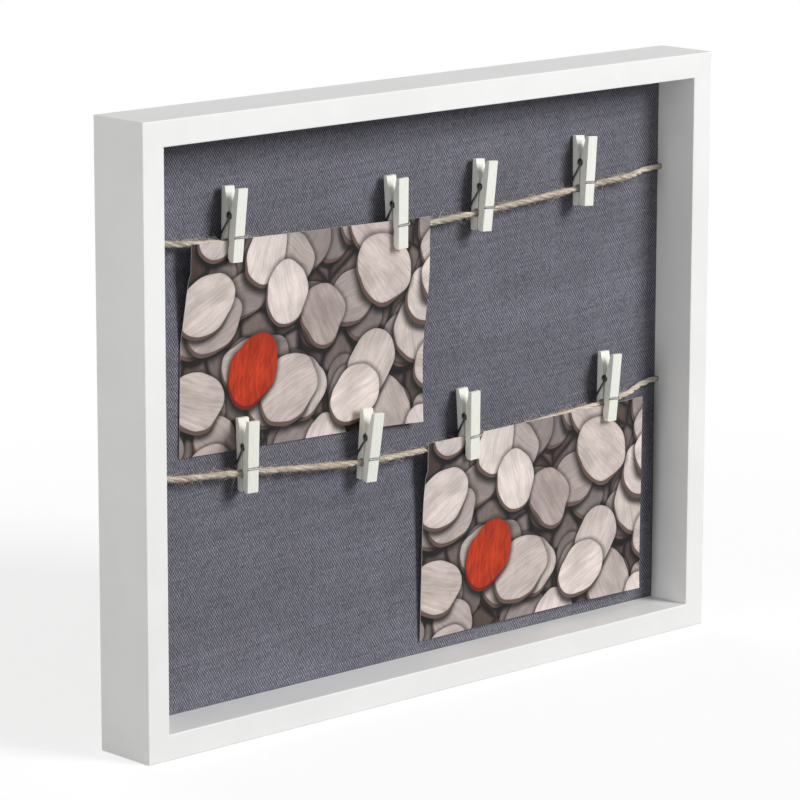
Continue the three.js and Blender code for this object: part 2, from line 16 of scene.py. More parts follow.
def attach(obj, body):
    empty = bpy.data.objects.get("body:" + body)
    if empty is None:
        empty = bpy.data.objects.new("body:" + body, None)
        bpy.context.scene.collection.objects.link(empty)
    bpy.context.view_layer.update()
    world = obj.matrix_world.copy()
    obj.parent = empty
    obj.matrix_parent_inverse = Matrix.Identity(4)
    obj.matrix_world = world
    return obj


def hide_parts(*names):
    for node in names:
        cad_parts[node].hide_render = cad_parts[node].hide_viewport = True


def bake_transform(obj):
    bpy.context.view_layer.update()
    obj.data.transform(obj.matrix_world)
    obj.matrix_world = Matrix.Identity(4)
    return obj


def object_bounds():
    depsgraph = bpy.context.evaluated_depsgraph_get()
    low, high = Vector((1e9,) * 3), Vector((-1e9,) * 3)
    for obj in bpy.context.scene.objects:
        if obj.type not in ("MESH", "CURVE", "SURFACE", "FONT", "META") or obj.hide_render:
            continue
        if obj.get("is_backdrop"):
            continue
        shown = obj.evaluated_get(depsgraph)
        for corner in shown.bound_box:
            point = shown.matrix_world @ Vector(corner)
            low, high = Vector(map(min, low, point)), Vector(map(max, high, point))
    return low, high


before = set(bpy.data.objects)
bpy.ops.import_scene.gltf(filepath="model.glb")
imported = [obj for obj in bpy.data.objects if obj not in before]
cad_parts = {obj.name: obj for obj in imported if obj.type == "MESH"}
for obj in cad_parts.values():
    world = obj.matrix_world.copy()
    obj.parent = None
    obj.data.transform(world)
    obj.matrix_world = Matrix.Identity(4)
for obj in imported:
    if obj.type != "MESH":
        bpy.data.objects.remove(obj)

CAD_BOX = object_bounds()
LOG = logging.getLogger("photo_frame")
ROOT = "frame"
Colour = tuple[float, float, float]
Ramp = tuple[float, float, float, float]
Test = Callable[[Vector, Vector], bool]
Tube = tuple[np.ndarray, list[tuple[int, ...]], np.ndarray]


# Shader maths


def operator(operation: str, swapped: bool = False) -> Callable[["Value", "Value | float"], "Value"]:
    """Make an operator of the class below, which adds a Math node.

    Args:
        operation: what the node does.
        swapped: whether the other value comes first.
    Returns:
        The operator.
    """

    def apply(value: "Value", other: "Value | float") -> "Value":
        """Return the node's result."""
        return value.tree.math(operation, *((other, value) if swapped else (value, other)))

    return apply


class Value:
    """A socket of a node tree. Arithmetic on it adds Math nodes."""

    def __init__(self, tree: "Tree", socket: bpy.types.NodeSocket) -> None:
        """Wrap a socket of a tree."""
        self.tree = tree
        self.socket = socket

    __add__ = operator("ADD")
    __radd__ = operator("ADD", swapped=True)
    __sub__ = operator("SUBTRACT")
    __rsub__ = operator("SUBTRACT", swapped=True)
    __mul__ = operator("MULTIPLY")
    __rmul__ = operator("MULTIPLY", swapped=True)
    __truediv__ = operator("DIVIDE")

    def math(self, operation: str, *others: "Value | float") -> "Value":
        """Return the result of a Math node on this value and others."""
        return self.tree.math(operation, self, *others)

    def ramp(self, low: float, high: float, start: float = 0.0, end: float = 1.0) -> "Value":
        """Return a smooth change between two values.

        Args:
            low: where the change starts.
            high: where it ends.
            start: the result up to low.
            end: the result from high on.
        Returns:
            The changed value.
        """
        settings = {"interpolation_type": "SMOOTHSTEP"}
        return self.tree.node("ShaderNodeMapRange", settings, {0: self, 1: low, 2: high, 3: start, 4: end})


class Tree:
    """A node tree of a material or of the world, and the ways to fill it."""

    def __init__(self, owner: bpy.types.Material | bpy.types.World, output: str) -> None:
        """Empty the owner's tree and add its output node.

        Args:
            owner: the material or the world.
            output: the type of its output node.
        """
        owner.use_nodes = True
        self.owner = owner
        self.tree = owner.node_tree
        self.tree.nodes.clear()
        self.output = self.tree.nodes.new(output)

    @classmethod
    def of_material(cls, name: str) -> "Tree":
        """Return the tree of a new material."""
        return cls(bpy.data.materials.new(name), "ShaderNodeOutputMaterial")

    def feed(self, socket: bpy.types.NodeSocket, value: Any) -> None:
        """Link a value to a socket, or set it there as a constant.

        Args:
            socket: an input socket.
            value: a value of this tree, a number, a colour or a vector.
        """
        if isinstance(value, Value):
            self.tree.links.new(value.socket, socket)
        elif isinstance(value, tuple) and len(value) < len(socket.default_value):
            socket.default_value = (*value, 1.0)
        else:
            socket.default_value = value

    def node(
        self,
        kind: str,
        settings: dict[str, Any] | None = None,
        values: dict[int | str, Any] | None = None,
        output: int | str = 0,
    ) -> Value:
        """Add a node.

        Args:
            kind: the node's type.
            settings: its properties, and under "stops" a ramp's places and colours.
            values: what its input sockets hold or are linked to.
            output: the output socket that is wanted.
        Returns:
            That output.
        """
        made = self.tree.nodes.new(kind)
        for key, setting in (settings or {}).items():
            if key == "stops":
                elements = made.color_ramp.elements
                while len(elements) < len(setting):
                    elements.new(1.0)
                for element, (place, colour) in zip(elements, setting):
                    element.position = place
                    element.color = (*colour, 1.0)
            else:
                setattr(made, key, setting)
        for key, value in (values or {}).items():
            self.feed(made.inputs[key], value)
        return Value(self, made.outputs[output])

    def math(self, operation: str, *values: Value | float) -> Value:
        """Return the result of a Math node."""
        return self.node("ShaderNodeMath", {"operation": operation}, dict(enumerate(values)))

    def vector(self, operation: str, *values: Any, output: int | str = 0) -> Value:
        """Return the result of a Vector Math node."""
        return self.node("ShaderNodeVectorMath", {"operation": operation}, dict(enumerate(values)), output)

    def place(self) -> Value:
        """Return the place on the piece, in metres."""
        return self.node("ShaderNodeTexCoord", output="Object")

    def chart(self) -> Value:
        """Return the place on the piece's own UV map."""
        return self.node("ShaderNodeTexCoord", output="UV")

    def parts(self, vector: Value) -> tuple[Value, Value, Value]:
        """Take a vector apart.

        Args:
            vector: the vector.
        Returns:
            Its three parts.
        """
        first = self.node("ShaderNodeSeparateXYZ", None, {0: vector})
        others = first.socket.node.outputs
        return first, Value(self, others[1]), Value(self, others[2])

    def joined(self, x: Value | float, y: Value | float, z: Value | float) -> Value:
        """Return a vector of three values."""
        return self.node("ShaderNodeCombineXYZ", None, {0: x, 1: y, 2: z})

    def stretched(self, vector: Value, scale: tuple[float, float, float]) -> Value:
        """Return a vector with each axis times its own number."""
        return self.vector("MULTIPLY", vector, scale)

    def noise(self, vector: Value, scale: float, detail: float = 2.0, rough: float = 0.5) -> Value:
        """Return a noise from 0 to 1, with about that many patches to the unit."""
        values = {"Vector": vector, "Scale": scale, "Detail": detail, "Roughness": rough}
        return self.node("ShaderNodeTexNoise", None, values)

    def chance(self, vector: Value) -> Value:
        """Return an even chance from 0 to 1 for each place."""
        return self.node("ShaderNodeTexWhiteNoise", None, {"Vector": vector}, "Value")

    def mix(self, share: Value | float, first: Value | Colour, second: Value | Colour) -> Value:
        """Return a mix of two colours."""
        return self.node("ShaderNodeMix", {"data_type": "RGBA"}, {0: share, 6: first, 7: second}, 2)

    def shaded(self, colour: Value | Colour, value: Value) -> Value:
        """Return a colour times a value."""
        return self.node("ShaderNodeVectorMath", {"operation": "SCALE"}, {0: colour, "Scale": value})

    def bump(self, height: Value, distance: float) -> Value:
        """Return the normal of a relief whose height of 1 stands for the distance."""
        return self.node("ShaderNodeBump", None, {"Height": height, "Distance": distance, "Strength": 1.0})

    def surface(self, **values: Any) -> bpy.types.Material:
        """Close the tree with a Principled shader.

        Args:
            values: its sockets, with underscores for spaces.
        Returns:
            The finished material.
        """
        named = {key.replace("_", " "): value for key, value in values.items()}
        self.feed(self.output.inputs["Surface"], self.node("ShaderNodeBsdfPrincipled", None, named))
        return self.owner


# Finishes, with noise in patches to the metre where nothing else is said


@dataclass(frozen=True)
class RailPaint:
    """Satin white paint with the faint ripple of a roller."""

    light: Colour = (0.9, 0.9, 0.893)
    dark: Colour = (0.872, 0.872, 0.862)
    clouds: float = 26.0
    pores: float = 1500.0
    ripple: float = 0.00003
    smooth: float = 0.36
    uneven: float = 0.14

    def material(self) -> bpy.types.Material:
        """Mix the paint.

        Returns:
            Its material.
        """
        tree = Tree.of_material("rail_paint")
        place = tree.place()
        cloud = tree.noise(place, self.clouds, detail=3.0)
        fine = tree.noise(place, self.pores)
        return tree.surface(
            Base_Color=tree.mix(cloud.ramp(0.35, 0.65), self.light, self.dark),
            Roughness=self.smooth + self.uneven * fine,
            Normal=tree.bump(fine, self.ripple),
        )


@dataclass(frozen=True)
class PanelCloth:
    """Blue-grey plain weave: dark warp along Z and pale weft along X.

    The tones are what every thread has, and what its own chance, its thick places and its fibres add.
    The spots are the tone of a crossing, and what chance takes off it.
    """

    warp_pitch: float = 0.000757
    weft_pitch: float = 0.00116
    skew: float = -0.045
    warp: Colour = (0.099, 0.099, 0.121)
    weft: Colour = (0.249, 0.248, 0.294)
    # Painted shade: this near-black colour fills the hollows between the threads.
    hollow_shade: Colour = (0.03, 0.03, 0.036)
    hollow_height: float = 0.26
    relief: float = 0.00014
    crown: float = 0.6
    dip: float = 0.45
    looseness: float = 0.6
    loose_patches: float = 420.0
    wander_patches: float = 60.0
    warp_wander: float = 0.8
    weft_wander: float = 0.6
    slubs: float = 140.0
    thread_step: float = 7.3
    fibres: float = 900.0
    fibres_across: float = 7.0
    tones: tuple[float, float, float, float] = (0.56, 0.2, 0.32, 0.36)
    spots: tuple[float, float] = (1.08, 0.36)
    clouds: float = 30.0
    cloudy: float = 0.07

    def thread_tone(self, tree: Tree, thread: Value, run: Value, width: Value) -> Value:
        """Return the tone along a thread.

        Args:
            tree: the tree of the cloth.
            thread: the number of the thread.
            run: the place along it, in metres.
            width: the place across it, in pitches.
        Returns:
            Its own tone, with thick places every few millimetres and with fine fibres.
        """
        base, by_thread, by_slub, by_fibre = self.tones
        own = tree.chance(tree.joined(thread, 0.5, 0.5))
        slub = tree.noise(tree.joined(thread * self.thread_step, run * self.slubs, 0.0), 1.0)
        fibre = tree.noise(tree.joined(width * self.fibres_across, run * self.fibres, 3.0), 1.0)
        return base + by_thread * own + by_slub * slub + by_fibre * fibre

    def material(self) -> bpy.types.Material:
        """Weave the cloth.

        Returns:
            Its material.
        """
        tree = Tree.of_material("panel_cloth")
        place = tree.place()
        patches = (self.wander_patches, 1.0, self.wander_patches)
        wander = tree.noise(tree.stretched(place, patches), 1.0) - 0.5
        values = {"Vector": place, "Scale": self.loose_patches, "Detail": 1.0}
        loose_x, _, loose_z = tree.parts(tree.node("ShaderNodeTexNoise", None, values, "Color"))
        x, _, z = tree.parts(place)
        across = x / self.warp_pitch + wander * self.warp_wander + (loose_x - 0.5) * self.looseness
        even = (z + x * self.skew) / self.weft_pitch
        along = even + wander * self.weft_wander + (loose_z - 0.5) * self.looseness
        column, row = across.math("FLOOR"), along.math("FLOOR")
        over = ((column + row) * 0.5).math("FRACT").math("GREATER_THAN", 0.25)
        round_warp = (across.math("FRACT") * math.pi).math("SINE")
        round_weft = (along.math("FRACT") * math.pi).math("SINE")
        warp_top = round_warp.math("POWER", self.crown) * (self.dip + (1.0 - self.dip) * round_weft)
        weft_top = round_weft.math("POWER", self.crown) * (self.dip + (1.0 - self.dip) * round_warp)
        height = over * warp_top + (1.0 - over) * weft_top
        warp_tone = self.thread_tone(tree, column, z, across)
        weft_tone = self.thread_tone(tree, row, x, along)
        weft = tree.shaded(self.weft, weft_tone)
        thread = tree.mix(over, weft, tree.shaded(self.warp, warp_tone))
        darker = tree.chance(tree.joined(column, row, 0.5)).math("POWER", 2.0)
        spot = self.spots[0] - self.spots[1] * darker
        cloud = tree.noise(place, self.clouds, detail=3.0)
        cloud = cloud.ramp(0.3, 0.7, 1.0 - self.cloudy, 1.0 + self.cloudy)
        # Painted shade: the weave turns near-black where it is low, between the threads.
        filled = tree.mix(height.ramp(0.0, self.hollow_height), self.hollow_shade, thread)
        return tree.surface(
            Base_Color=tree.shaded(filled, cloud * spot),
            Roughness=0.95,
            Normal=tree.bump(height, self.relief),
            Specular_IOR_Level=0.1,
        )


@dataclass(frozen=True)
class Hardboard:
    """Pressed brown fibre, with the print of the press screen on its back."""

    light: Colour = (0.36, 0.225, 0.115)
    dark: Colour = (0.2, 0.115, 0.052)
    fibres: float = 700.0
    fibre_lie: tuple[float, float, float] = (1.0, 1.0, 2.2)
    patches: float = 45.0
    patchy: float = 0.3
    screen: float = 0.0016
    screen_height: float = 0.25
    relief: float = 0.0001
    smooth: float = 0.66
    uneven: float = 0.2

    def material(self) -> bpy.types.Material:
        """Press the board.

        Returns:
            Its material.
        """
        tree = Tree.of_material("hardboard")
        place = tree.place()
        fibre = tree.noise(tree.stretched(place, self.fibre_lie), self.fibres, detail=5.0, rough=0.65)
        patch = tree.noise(place, self.patches, detail=3.0)
        x, _, z = tree.parts(place)
        wave = math.tau / self.screen
        mesh = (x * wave).math("SINE") * (z * wave).math("SINE")
        tone = fibre * (1.0 - self.patchy) + patch * self.patchy
        return tree.surface(
            Base_Color=tree.mix(tone.ramp(0.3, 0.7), self.dark, self.light),
            Roughness=self.smooth + self.uneven * fibre,
            Normal=tree.bump(fibre + mesh * self.screen_height, self.relief),
        )


@dataclass(frozen=True)
class Plating:
    """Plated or drawn metal with faint patches and fine scratches."""

    name: str
    colour: Colour
    patch: Colour
    smooth: float
    uneven: float = 0.2
    spangles: float = 420.0
    scratches: float = 900.0
    scratch_lie: tuple[float, float, float] = (1.0, 1.0, 9.0)
    relief: float = 0.00001

    def material(self) -> bpy.types.Material:
        """Plate the metal.

        Returns:
            Its material.
        """
        tree = Tree.of_material(self.name)
        place = tree.place()
        values = {"Vector": place, "Scale": self.spangles}
        spangle = tree.node("ShaderNodeTexVoronoi", None, values, "Color")
        tone = tree.parts(spangle)[0]
        scratch = tree.noise(tree.stretched(place, self.scratch_lie), self.scratches, detail=3.0)
        return tree.surface(
            Base_Color=tree.mix(tone, self.colour, self.patch),
            Metallic=1.0,
            Roughness=self.smooth + self.uneven * scratch,
            Normal=tree.bump(scratch, self.relief),
        )


@dataclass(frozen=True)
class Jute:
    """Loose jute fibre: pale and brown streaks, counted along a metre of strand and round it."""

    pale: Colour = (0.86, 0.78, 0.66)
    mid: Colour = (0.68, 0.585, 0.465)
    brown: Colour = (0.29, 0.22, 0.145)
    stops: tuple[float, float, float] = (0.4, 0.5, 0.6)
    streaks: tuple[float, float, float] = (300.0, 14.0, 1.0)
    streaky: float = 0.65
    patches: tuple[float, float, float] = (70.0, 1.3, 1.0)
    patchy: float = 0.45
    relief: float = 0.0006

    def material(self) -> bpy.types.Material:
        """Dye the fibre.

        Returns:
            Its material.
        """
        tree = Tree.of_material("jute")
        chart = tree.chart()
        streak = tree.noise(tree.stretched(chart, self.streaks), 1.0, detail=4.0, rough=0.7)
        patch = tree.noise(tree.stretched(chart, self.patches), 1.0)
        tone = streak * self.streaky + patch * self.patchy
        stops = list(zip(self.stops, (self.brown, self.mid, self.pale)))
        return tree.surface(
            Base_Color=tree.node("ShaderNodeValToRGB", {"stops": stops}, {0: tone}),
            Roughness=0.9,
            Normal=tree.bump(streak, self.relief),
            Specular_IOR_Level=0.15,
        )


@dataclass(frozen=True)
class PegStain:
    """Matt off-white stain on small birch levers, with grain and a little bare wood on it."""

    white: Colour = (0.885, 0.89, 0.82)
    grain: Colour = (0.81, 0.805, 0.72)
    wood: Colour = (0.5, 0.38, 0.23)
    streaks: tuple[float, float, float] = (1700.0, 1700.0, 110.0)
    flecks: tuple[float, float, float] = (900.0, 900.0, 260.0)
    bare: float = 0.45
    relief: float = 0.00005
    smooth: float = 0.55
    uneven: float = 0.2

    def material(self) -> bpy.types.Material:
        """Stain the wood.

        Returns:
            Its material.
        """
        tree = Tree.of_material("peg_stain")
        place = tree.place()
        streak = tree.noise(tree.stretched(place, self.streaks), 1.0, detail=4.0, rough=0.6)
        fleck = tree.noise(tree.stretched(place, self.flecks), 1.0, detail=3.0).ramp(0.7, 0.78)
        colour = tree.mix(streak.ramp(0.42, 0.72), self.white, self.grain)
        return tree.surface(
            Base_Color=tree.mix(fleck * self.bare, colour, self.wood),
            Roughness=self.smooth + self.uneven * streak,
            Normal=tree.bump(streak, self.relief),
        )


@dataclass(frozen=True)
class PaperBack:
    """Plain white photographic paper, for the backs and edges of the prints."""

    white: Colour = (0.84, 0.835, 0.82)
    shade: Colour = (0.8, 0.795, 0.78)
    felt: float = 2600.0
    relief: float = 0.00001

    def material(self) -> bpy.types.Material:
        """Make the paper.

        Returns:
            Its material.
        """
        tree = Tree.of_material("paper_back")
        felt = tree.noise(tree.place(), self.felt, detail=3.0)
        return tree.surface(
            Base_Color=tree.mix(felt, self.white, self.shade),
            Roughness=0.6,
            Normal=tree.bump(felt, self.relief),
        )


@dataclass(frozen=True)
class ChipLayer:
    """One layer of the picture's wooden chips, and how many of them go to the height of the print."""

    count: float
    radius: float
    turn: float
    shift: tuple[float, float]
    tone: float


@dataclass(frozen=True)
class Grain:
    """A pattern on a chip: patches across and along it, its shifts from chip to chip, and its shade."""

    patches: tuple[float, float]
    shift: float
    depth: float
    detail: float
    rough: float
    shade: Ramp


@dataclass(frozen=True)
class Picture:
    """A semi-gloss picture of heaped oval wooden chips, one of them red.

    Its unit is the height of the print.
    A ramp says where a change starts and ends, and what it goes from and to.
    """

    shape: float = 1.49
    pale: Colour = (0.86, 0.755, 0.71)
    grey: Colour = (0.49, 0.4, 0.375)
    gap: Colour = (0.012, 0.008, 0.008)
    gap_width: float = 0.16
    side: Colour = (0.13, 0.085, 0.07)
    red: Colour = (0.6, 0.052, 0.012)
    red_dark: Colour = (0.42, 0.03, 0.009)
    red_side: Colour = (0.16, 0.012, 0.006)
    red_place: tuple[float, float] = (0.47, 0.4)
    red_radius: float = 0.175
    red_turn: float = 0.5
    red_chances: tuple[float, float, float] = (0.3, 0.6, 0.2)
    red_streaks: tuple[float, float, float] = (60.0, 9.0, 1.0)
    slim: float = 1.22
    smallest: float = 0.8
    scatter: float = 0.25
    light: tuple[float, float] = (0.42, 0.9)
    thickness: float = 0.02
    reach: float = 0.05
    shadow: Ramp = (0.86, 1.16, 0.1, 1.0)
    contact: Ramp = (0.98, 1.2, 0.35, 1.0)
    worn: Ramp = (0.9, 1.0, 1.0, 0.86)
    sawn: Ramp = (0.97, 1.0, 1.0, 0.0)
    rim: Ramp = (0.975, 1.0, 1.0, 0.0)
    splinters: float = 5.5
    splinter_tone: float = 0.5
    wobbles: float = 5.0
    wobble: float = 0.06
    lines: Grain = Grain((75.0, 4.5), 40.0, 9.0, 3.0, 0.6, (0.3, 0.7, 0.84, 1.07))
    pores: Grain = Grain((260.0, 22.0), 90.0, 5.0, 2.0, 0.5, (0.28, 0.45, 0.86, 1.0))
    clouds: Grain = Grain((9.0, 6.0), 30.0, 8.0, 2.0, 0.5, (0.3, 0.7, 0.82, 1.1))
    layers: tuple[ChipLayer, ...] = (
        ChipLayer(3.1, 0.13, 0.3, (0.11, 0.42), 0.3),
        ChipLayer(2.6, 0.154, 1.1, (0.57, 0.13), 0.52),
        ChipLayer(2.3, 0.172, 2.0, (0.23, 0.71), 0.8),
        ChipLayer(2.15, 0.182, 0.75, (0.81, 0.37), 0.96),
        ChipLayer(2.0, 0.19, 1.6, (0.36, 0.92), 1.06),
    )

    def grain(self, tree: Tree, local: Value, chances: Sequence[Value | float]) -> Value:
        """Return the shade of the grain on a chip.

        Args:
            tree: the tree of the picture.
            local: the place in the chip's own axes, of which Y runs along the grain.
            chances: three numbers that are its own.
        Returns:
            The shade of its lines, pores and clouds.
        """
        x, y, _ = tree.parts(local)
        first, second, third = chances

        def shade(grain: Grain, own: Sequence[Value | float]) -> Value:
            """Return the shade of one pattern.

            Args:
                grain: the pattern.
                own: the chip's numbers in the order in which they shift it.
            Returns:
                The shade.
            """
            (wide, long), shift = grain.patches, grain.shift
            spot = tree.joined(x * wide + own[0] * shift, y * long + own[1] * shift, own[2] * grain.depth)
            return tree.noise(spot, 1.0, grain.detail, grain.rough).ramp(*grain.shade)

        found = shade(self.lines, (first, second, third)) * shade(self.pores, (first, second, third))
        return found * shade(self.clouds, (second, third, first))

    def toward(self, tree: Tree, away: Value, turn: float, distance: float) -> Value:
        """Return a place moved towards the light.

        Args:
            tree: the tree of the picture.
            away: the place.
            turn: by which its axes are turned against the picture's.
            distance: how far it moves.
        Returns:
            The moved place, in the same axes.
        """
        light_x = self.light[0] * math.cos(turn) - self.light[1] * math.sin(turn)
        light_y = self.light[0] * math.sin(turn) + self.light[1] * math.cos(turn)
        return tree.vector("ADD", away, (light_x * distance, light_y * distance, 0.0))

    def chip(
        self,
        tree: Tree,
        under: Value,
        away: Value,
        turn: float,
        angle: Value | float,
        size: Value | float,
        colours: tuple[Value | Colour, Colour],
        chances: Sequence[Value | float],
    ) -> Value:
        """Lay a chip over what is there: its shadow, its sawn side and its face.

        Args:
            tree: the tree of the picture.
            under: the colours below it.
            away: the place from the middle of the chip.
            turn: by which that place is turned against the picture.
            angle: the chip's own turn.
            size: half its length.
            colours: those of its face and of its side.
            chances: three numbers that are its own.
        Returns:
            The colours with the chip on them.
        """

        def share(place: Value) -> tuple[Value, Value]:
            """Bring a place into the chip's own axes.

            Args:
                place: the place from the chip's middle.
            Returns:
                That place, and its distance in shares of the chip's size.
            """
            values = {"Vector": place, "Angle": angle}
            turned = tree.node("ShaderNodeVectorRotate", {"rotation_type": "Z_AXIS"}, values)
            long = tree.vector("LENGTH", tree.stretched(turned, (self.slim, 1.0, 1.0)), output="Value")
            return turned, long / size

        _, cast = share(self.toward(tree, away, turn, self.reach))
        _, thick = share(self.toward(tree, away, turn, self.thickness))
        local, ratio = share(away)
        face = tree.shaded(colours[0], self.grain(tree, local, chances) * ratio.ramp(*self.worn))
        found = tree.shaded(under, cast.ramp(*self.shadow) * ratio.ramp(*self.contact))
        found = tree.mix(thick.ramp(*self.sawn), found, colours[1])
        return tree.mix(ratio.ramp(*self.rim), found, face)

    def heap(self, tree: Tree, sheet: Value, layer: ChipLayer, under: Value) -> Value:
        """Lay one layer of chips over what is there.

        Args:
            tree: the tree of the picture.
            sheet: the place on the picture.
            layer: the chips.
            under: the colours below them.
        Returns:
            The colours with the chips on them.
        """
        values = {"Vector": sheet, "Location": (*layer.shift, 0.0), "Rotation": (0.0, 0.0, layer.turn)}
        spot = tree.node("ShaderNodeMapping", None, values)
        values = {"Vector": spot, "Scale": layer.count, "Randomness": self.scatter}
        middle = tree.node("ShaderNodeTexVoronoi", {"voronoi_dimensions": "2D"}, values, "Position")
        chances = tree.parts(Value(tree, middle.socket.node.outputs["Color"]))
        away = tree.vector("SUBTRACT", spot, middle)
        size = layer.radius * (self.smallest + (1.0 - self.smallest) * chances[1])
        tone = tree.shaded(tree.mix(chances[2], self.pale, self.grey), layer.tone)
        angle = chances[0] * math.tau
        return self.chip(tree, under, away, layer.turn, angle, size, (tone, self.side), chances)

    def ground(self, tree: Tree, sheet: Value) -> Value:
        """Return the lowest layer: splinters in the shade, with dark gaps between them.

        Args:
            tree: the tree of the picture.
            sheet: the place on the picture.
        Returns:
            The colours.
        """
        values = {"Vector": sheet, "Scale": self.splinters}
        flat = {"voronoi_dimensions": "2D"}
        own = tree.node("ShaderNodeTexVoronoi", flat, values, "Color")
        edge = tree.node("ShaderNodeTexVoronoi", {**flat, "feature": "DISTANCE_TO_EDGE"}, values)
        chances = tree.parts(own)
        grain = self.grain(tree, sheet, chances) * self.splinter_tone
        tone = tree.shaded(tree.mix(chances[0], self.side, self.grey), grain)
        return tree.mix(edge.ramp(0.0, self.gap_width), self.gap, tone)

    def material(self) -> bpy.types.Material:
        """Print the picture.

        Returns:
            Its material.
        """
        tree = Tree.of_material("picture")
        flat = tree.stretched(tree.chart(), (self.shape, 1.0, 0.0))
        values = {"Vector": flat, "Scale": self.wobbles, "Detail": 1.0}
        wobble = tree.node("ShaderNodeTexNoise", None, values, "Color")
        sheet = tree.vector("ADD", flat, tree.stretched(wobble, (self.wobble, self.wobble, 0.0)))
        colour = self.ground(tree, sheet)
        for layer in self.layers:
            colour = self.heap(tree, sheet, layer, colour)
        away = tree.vector("SUBTRACT", sheet, (*self.red_place, 0.0))
        streak = tree.noise(tree.stretched(sheet, self.red_streaks), 1.0, detail=3.0).ramp(0.35, 0.65)
        faces = (tree.mix(streak, self.red_dark, self.red), self.red_side)
        turn, size = self.red_turn, self.red_radius
        colour = self.chip(tree, colour, away, 0.0, turn, size, faces, self.red_chances)
        return tree.surface(Base_Color=colour, Roughness=0.36, Specular_IOR_Level=0.22)


# The bench


FLAT = math.radians(0.5)  # angle up to which two faces count as one
NEAR = 1e-6  # metres within which two places count as one
MOSTLY = 0.9  # share of a direction from which it counts as lying along an axis


def added(name: str, data: bpy.types.ID) -> bpy.types.Object:
    """Put new data into the scene.

    Args:
        name: the object's name.
        data: its mesh, curve, lamp or camera.
    Returns:
        The object.
    """
    obj = bpy.data.objects.new(name, data)
    bpy.context.scene.collection.objects.link(obj)
    return obj


class Element(Enum):
    """What a step of modelling picks."""

    VERTEX = "VERT"
    EDGE = "EDGE"
    FACE = "FACE"


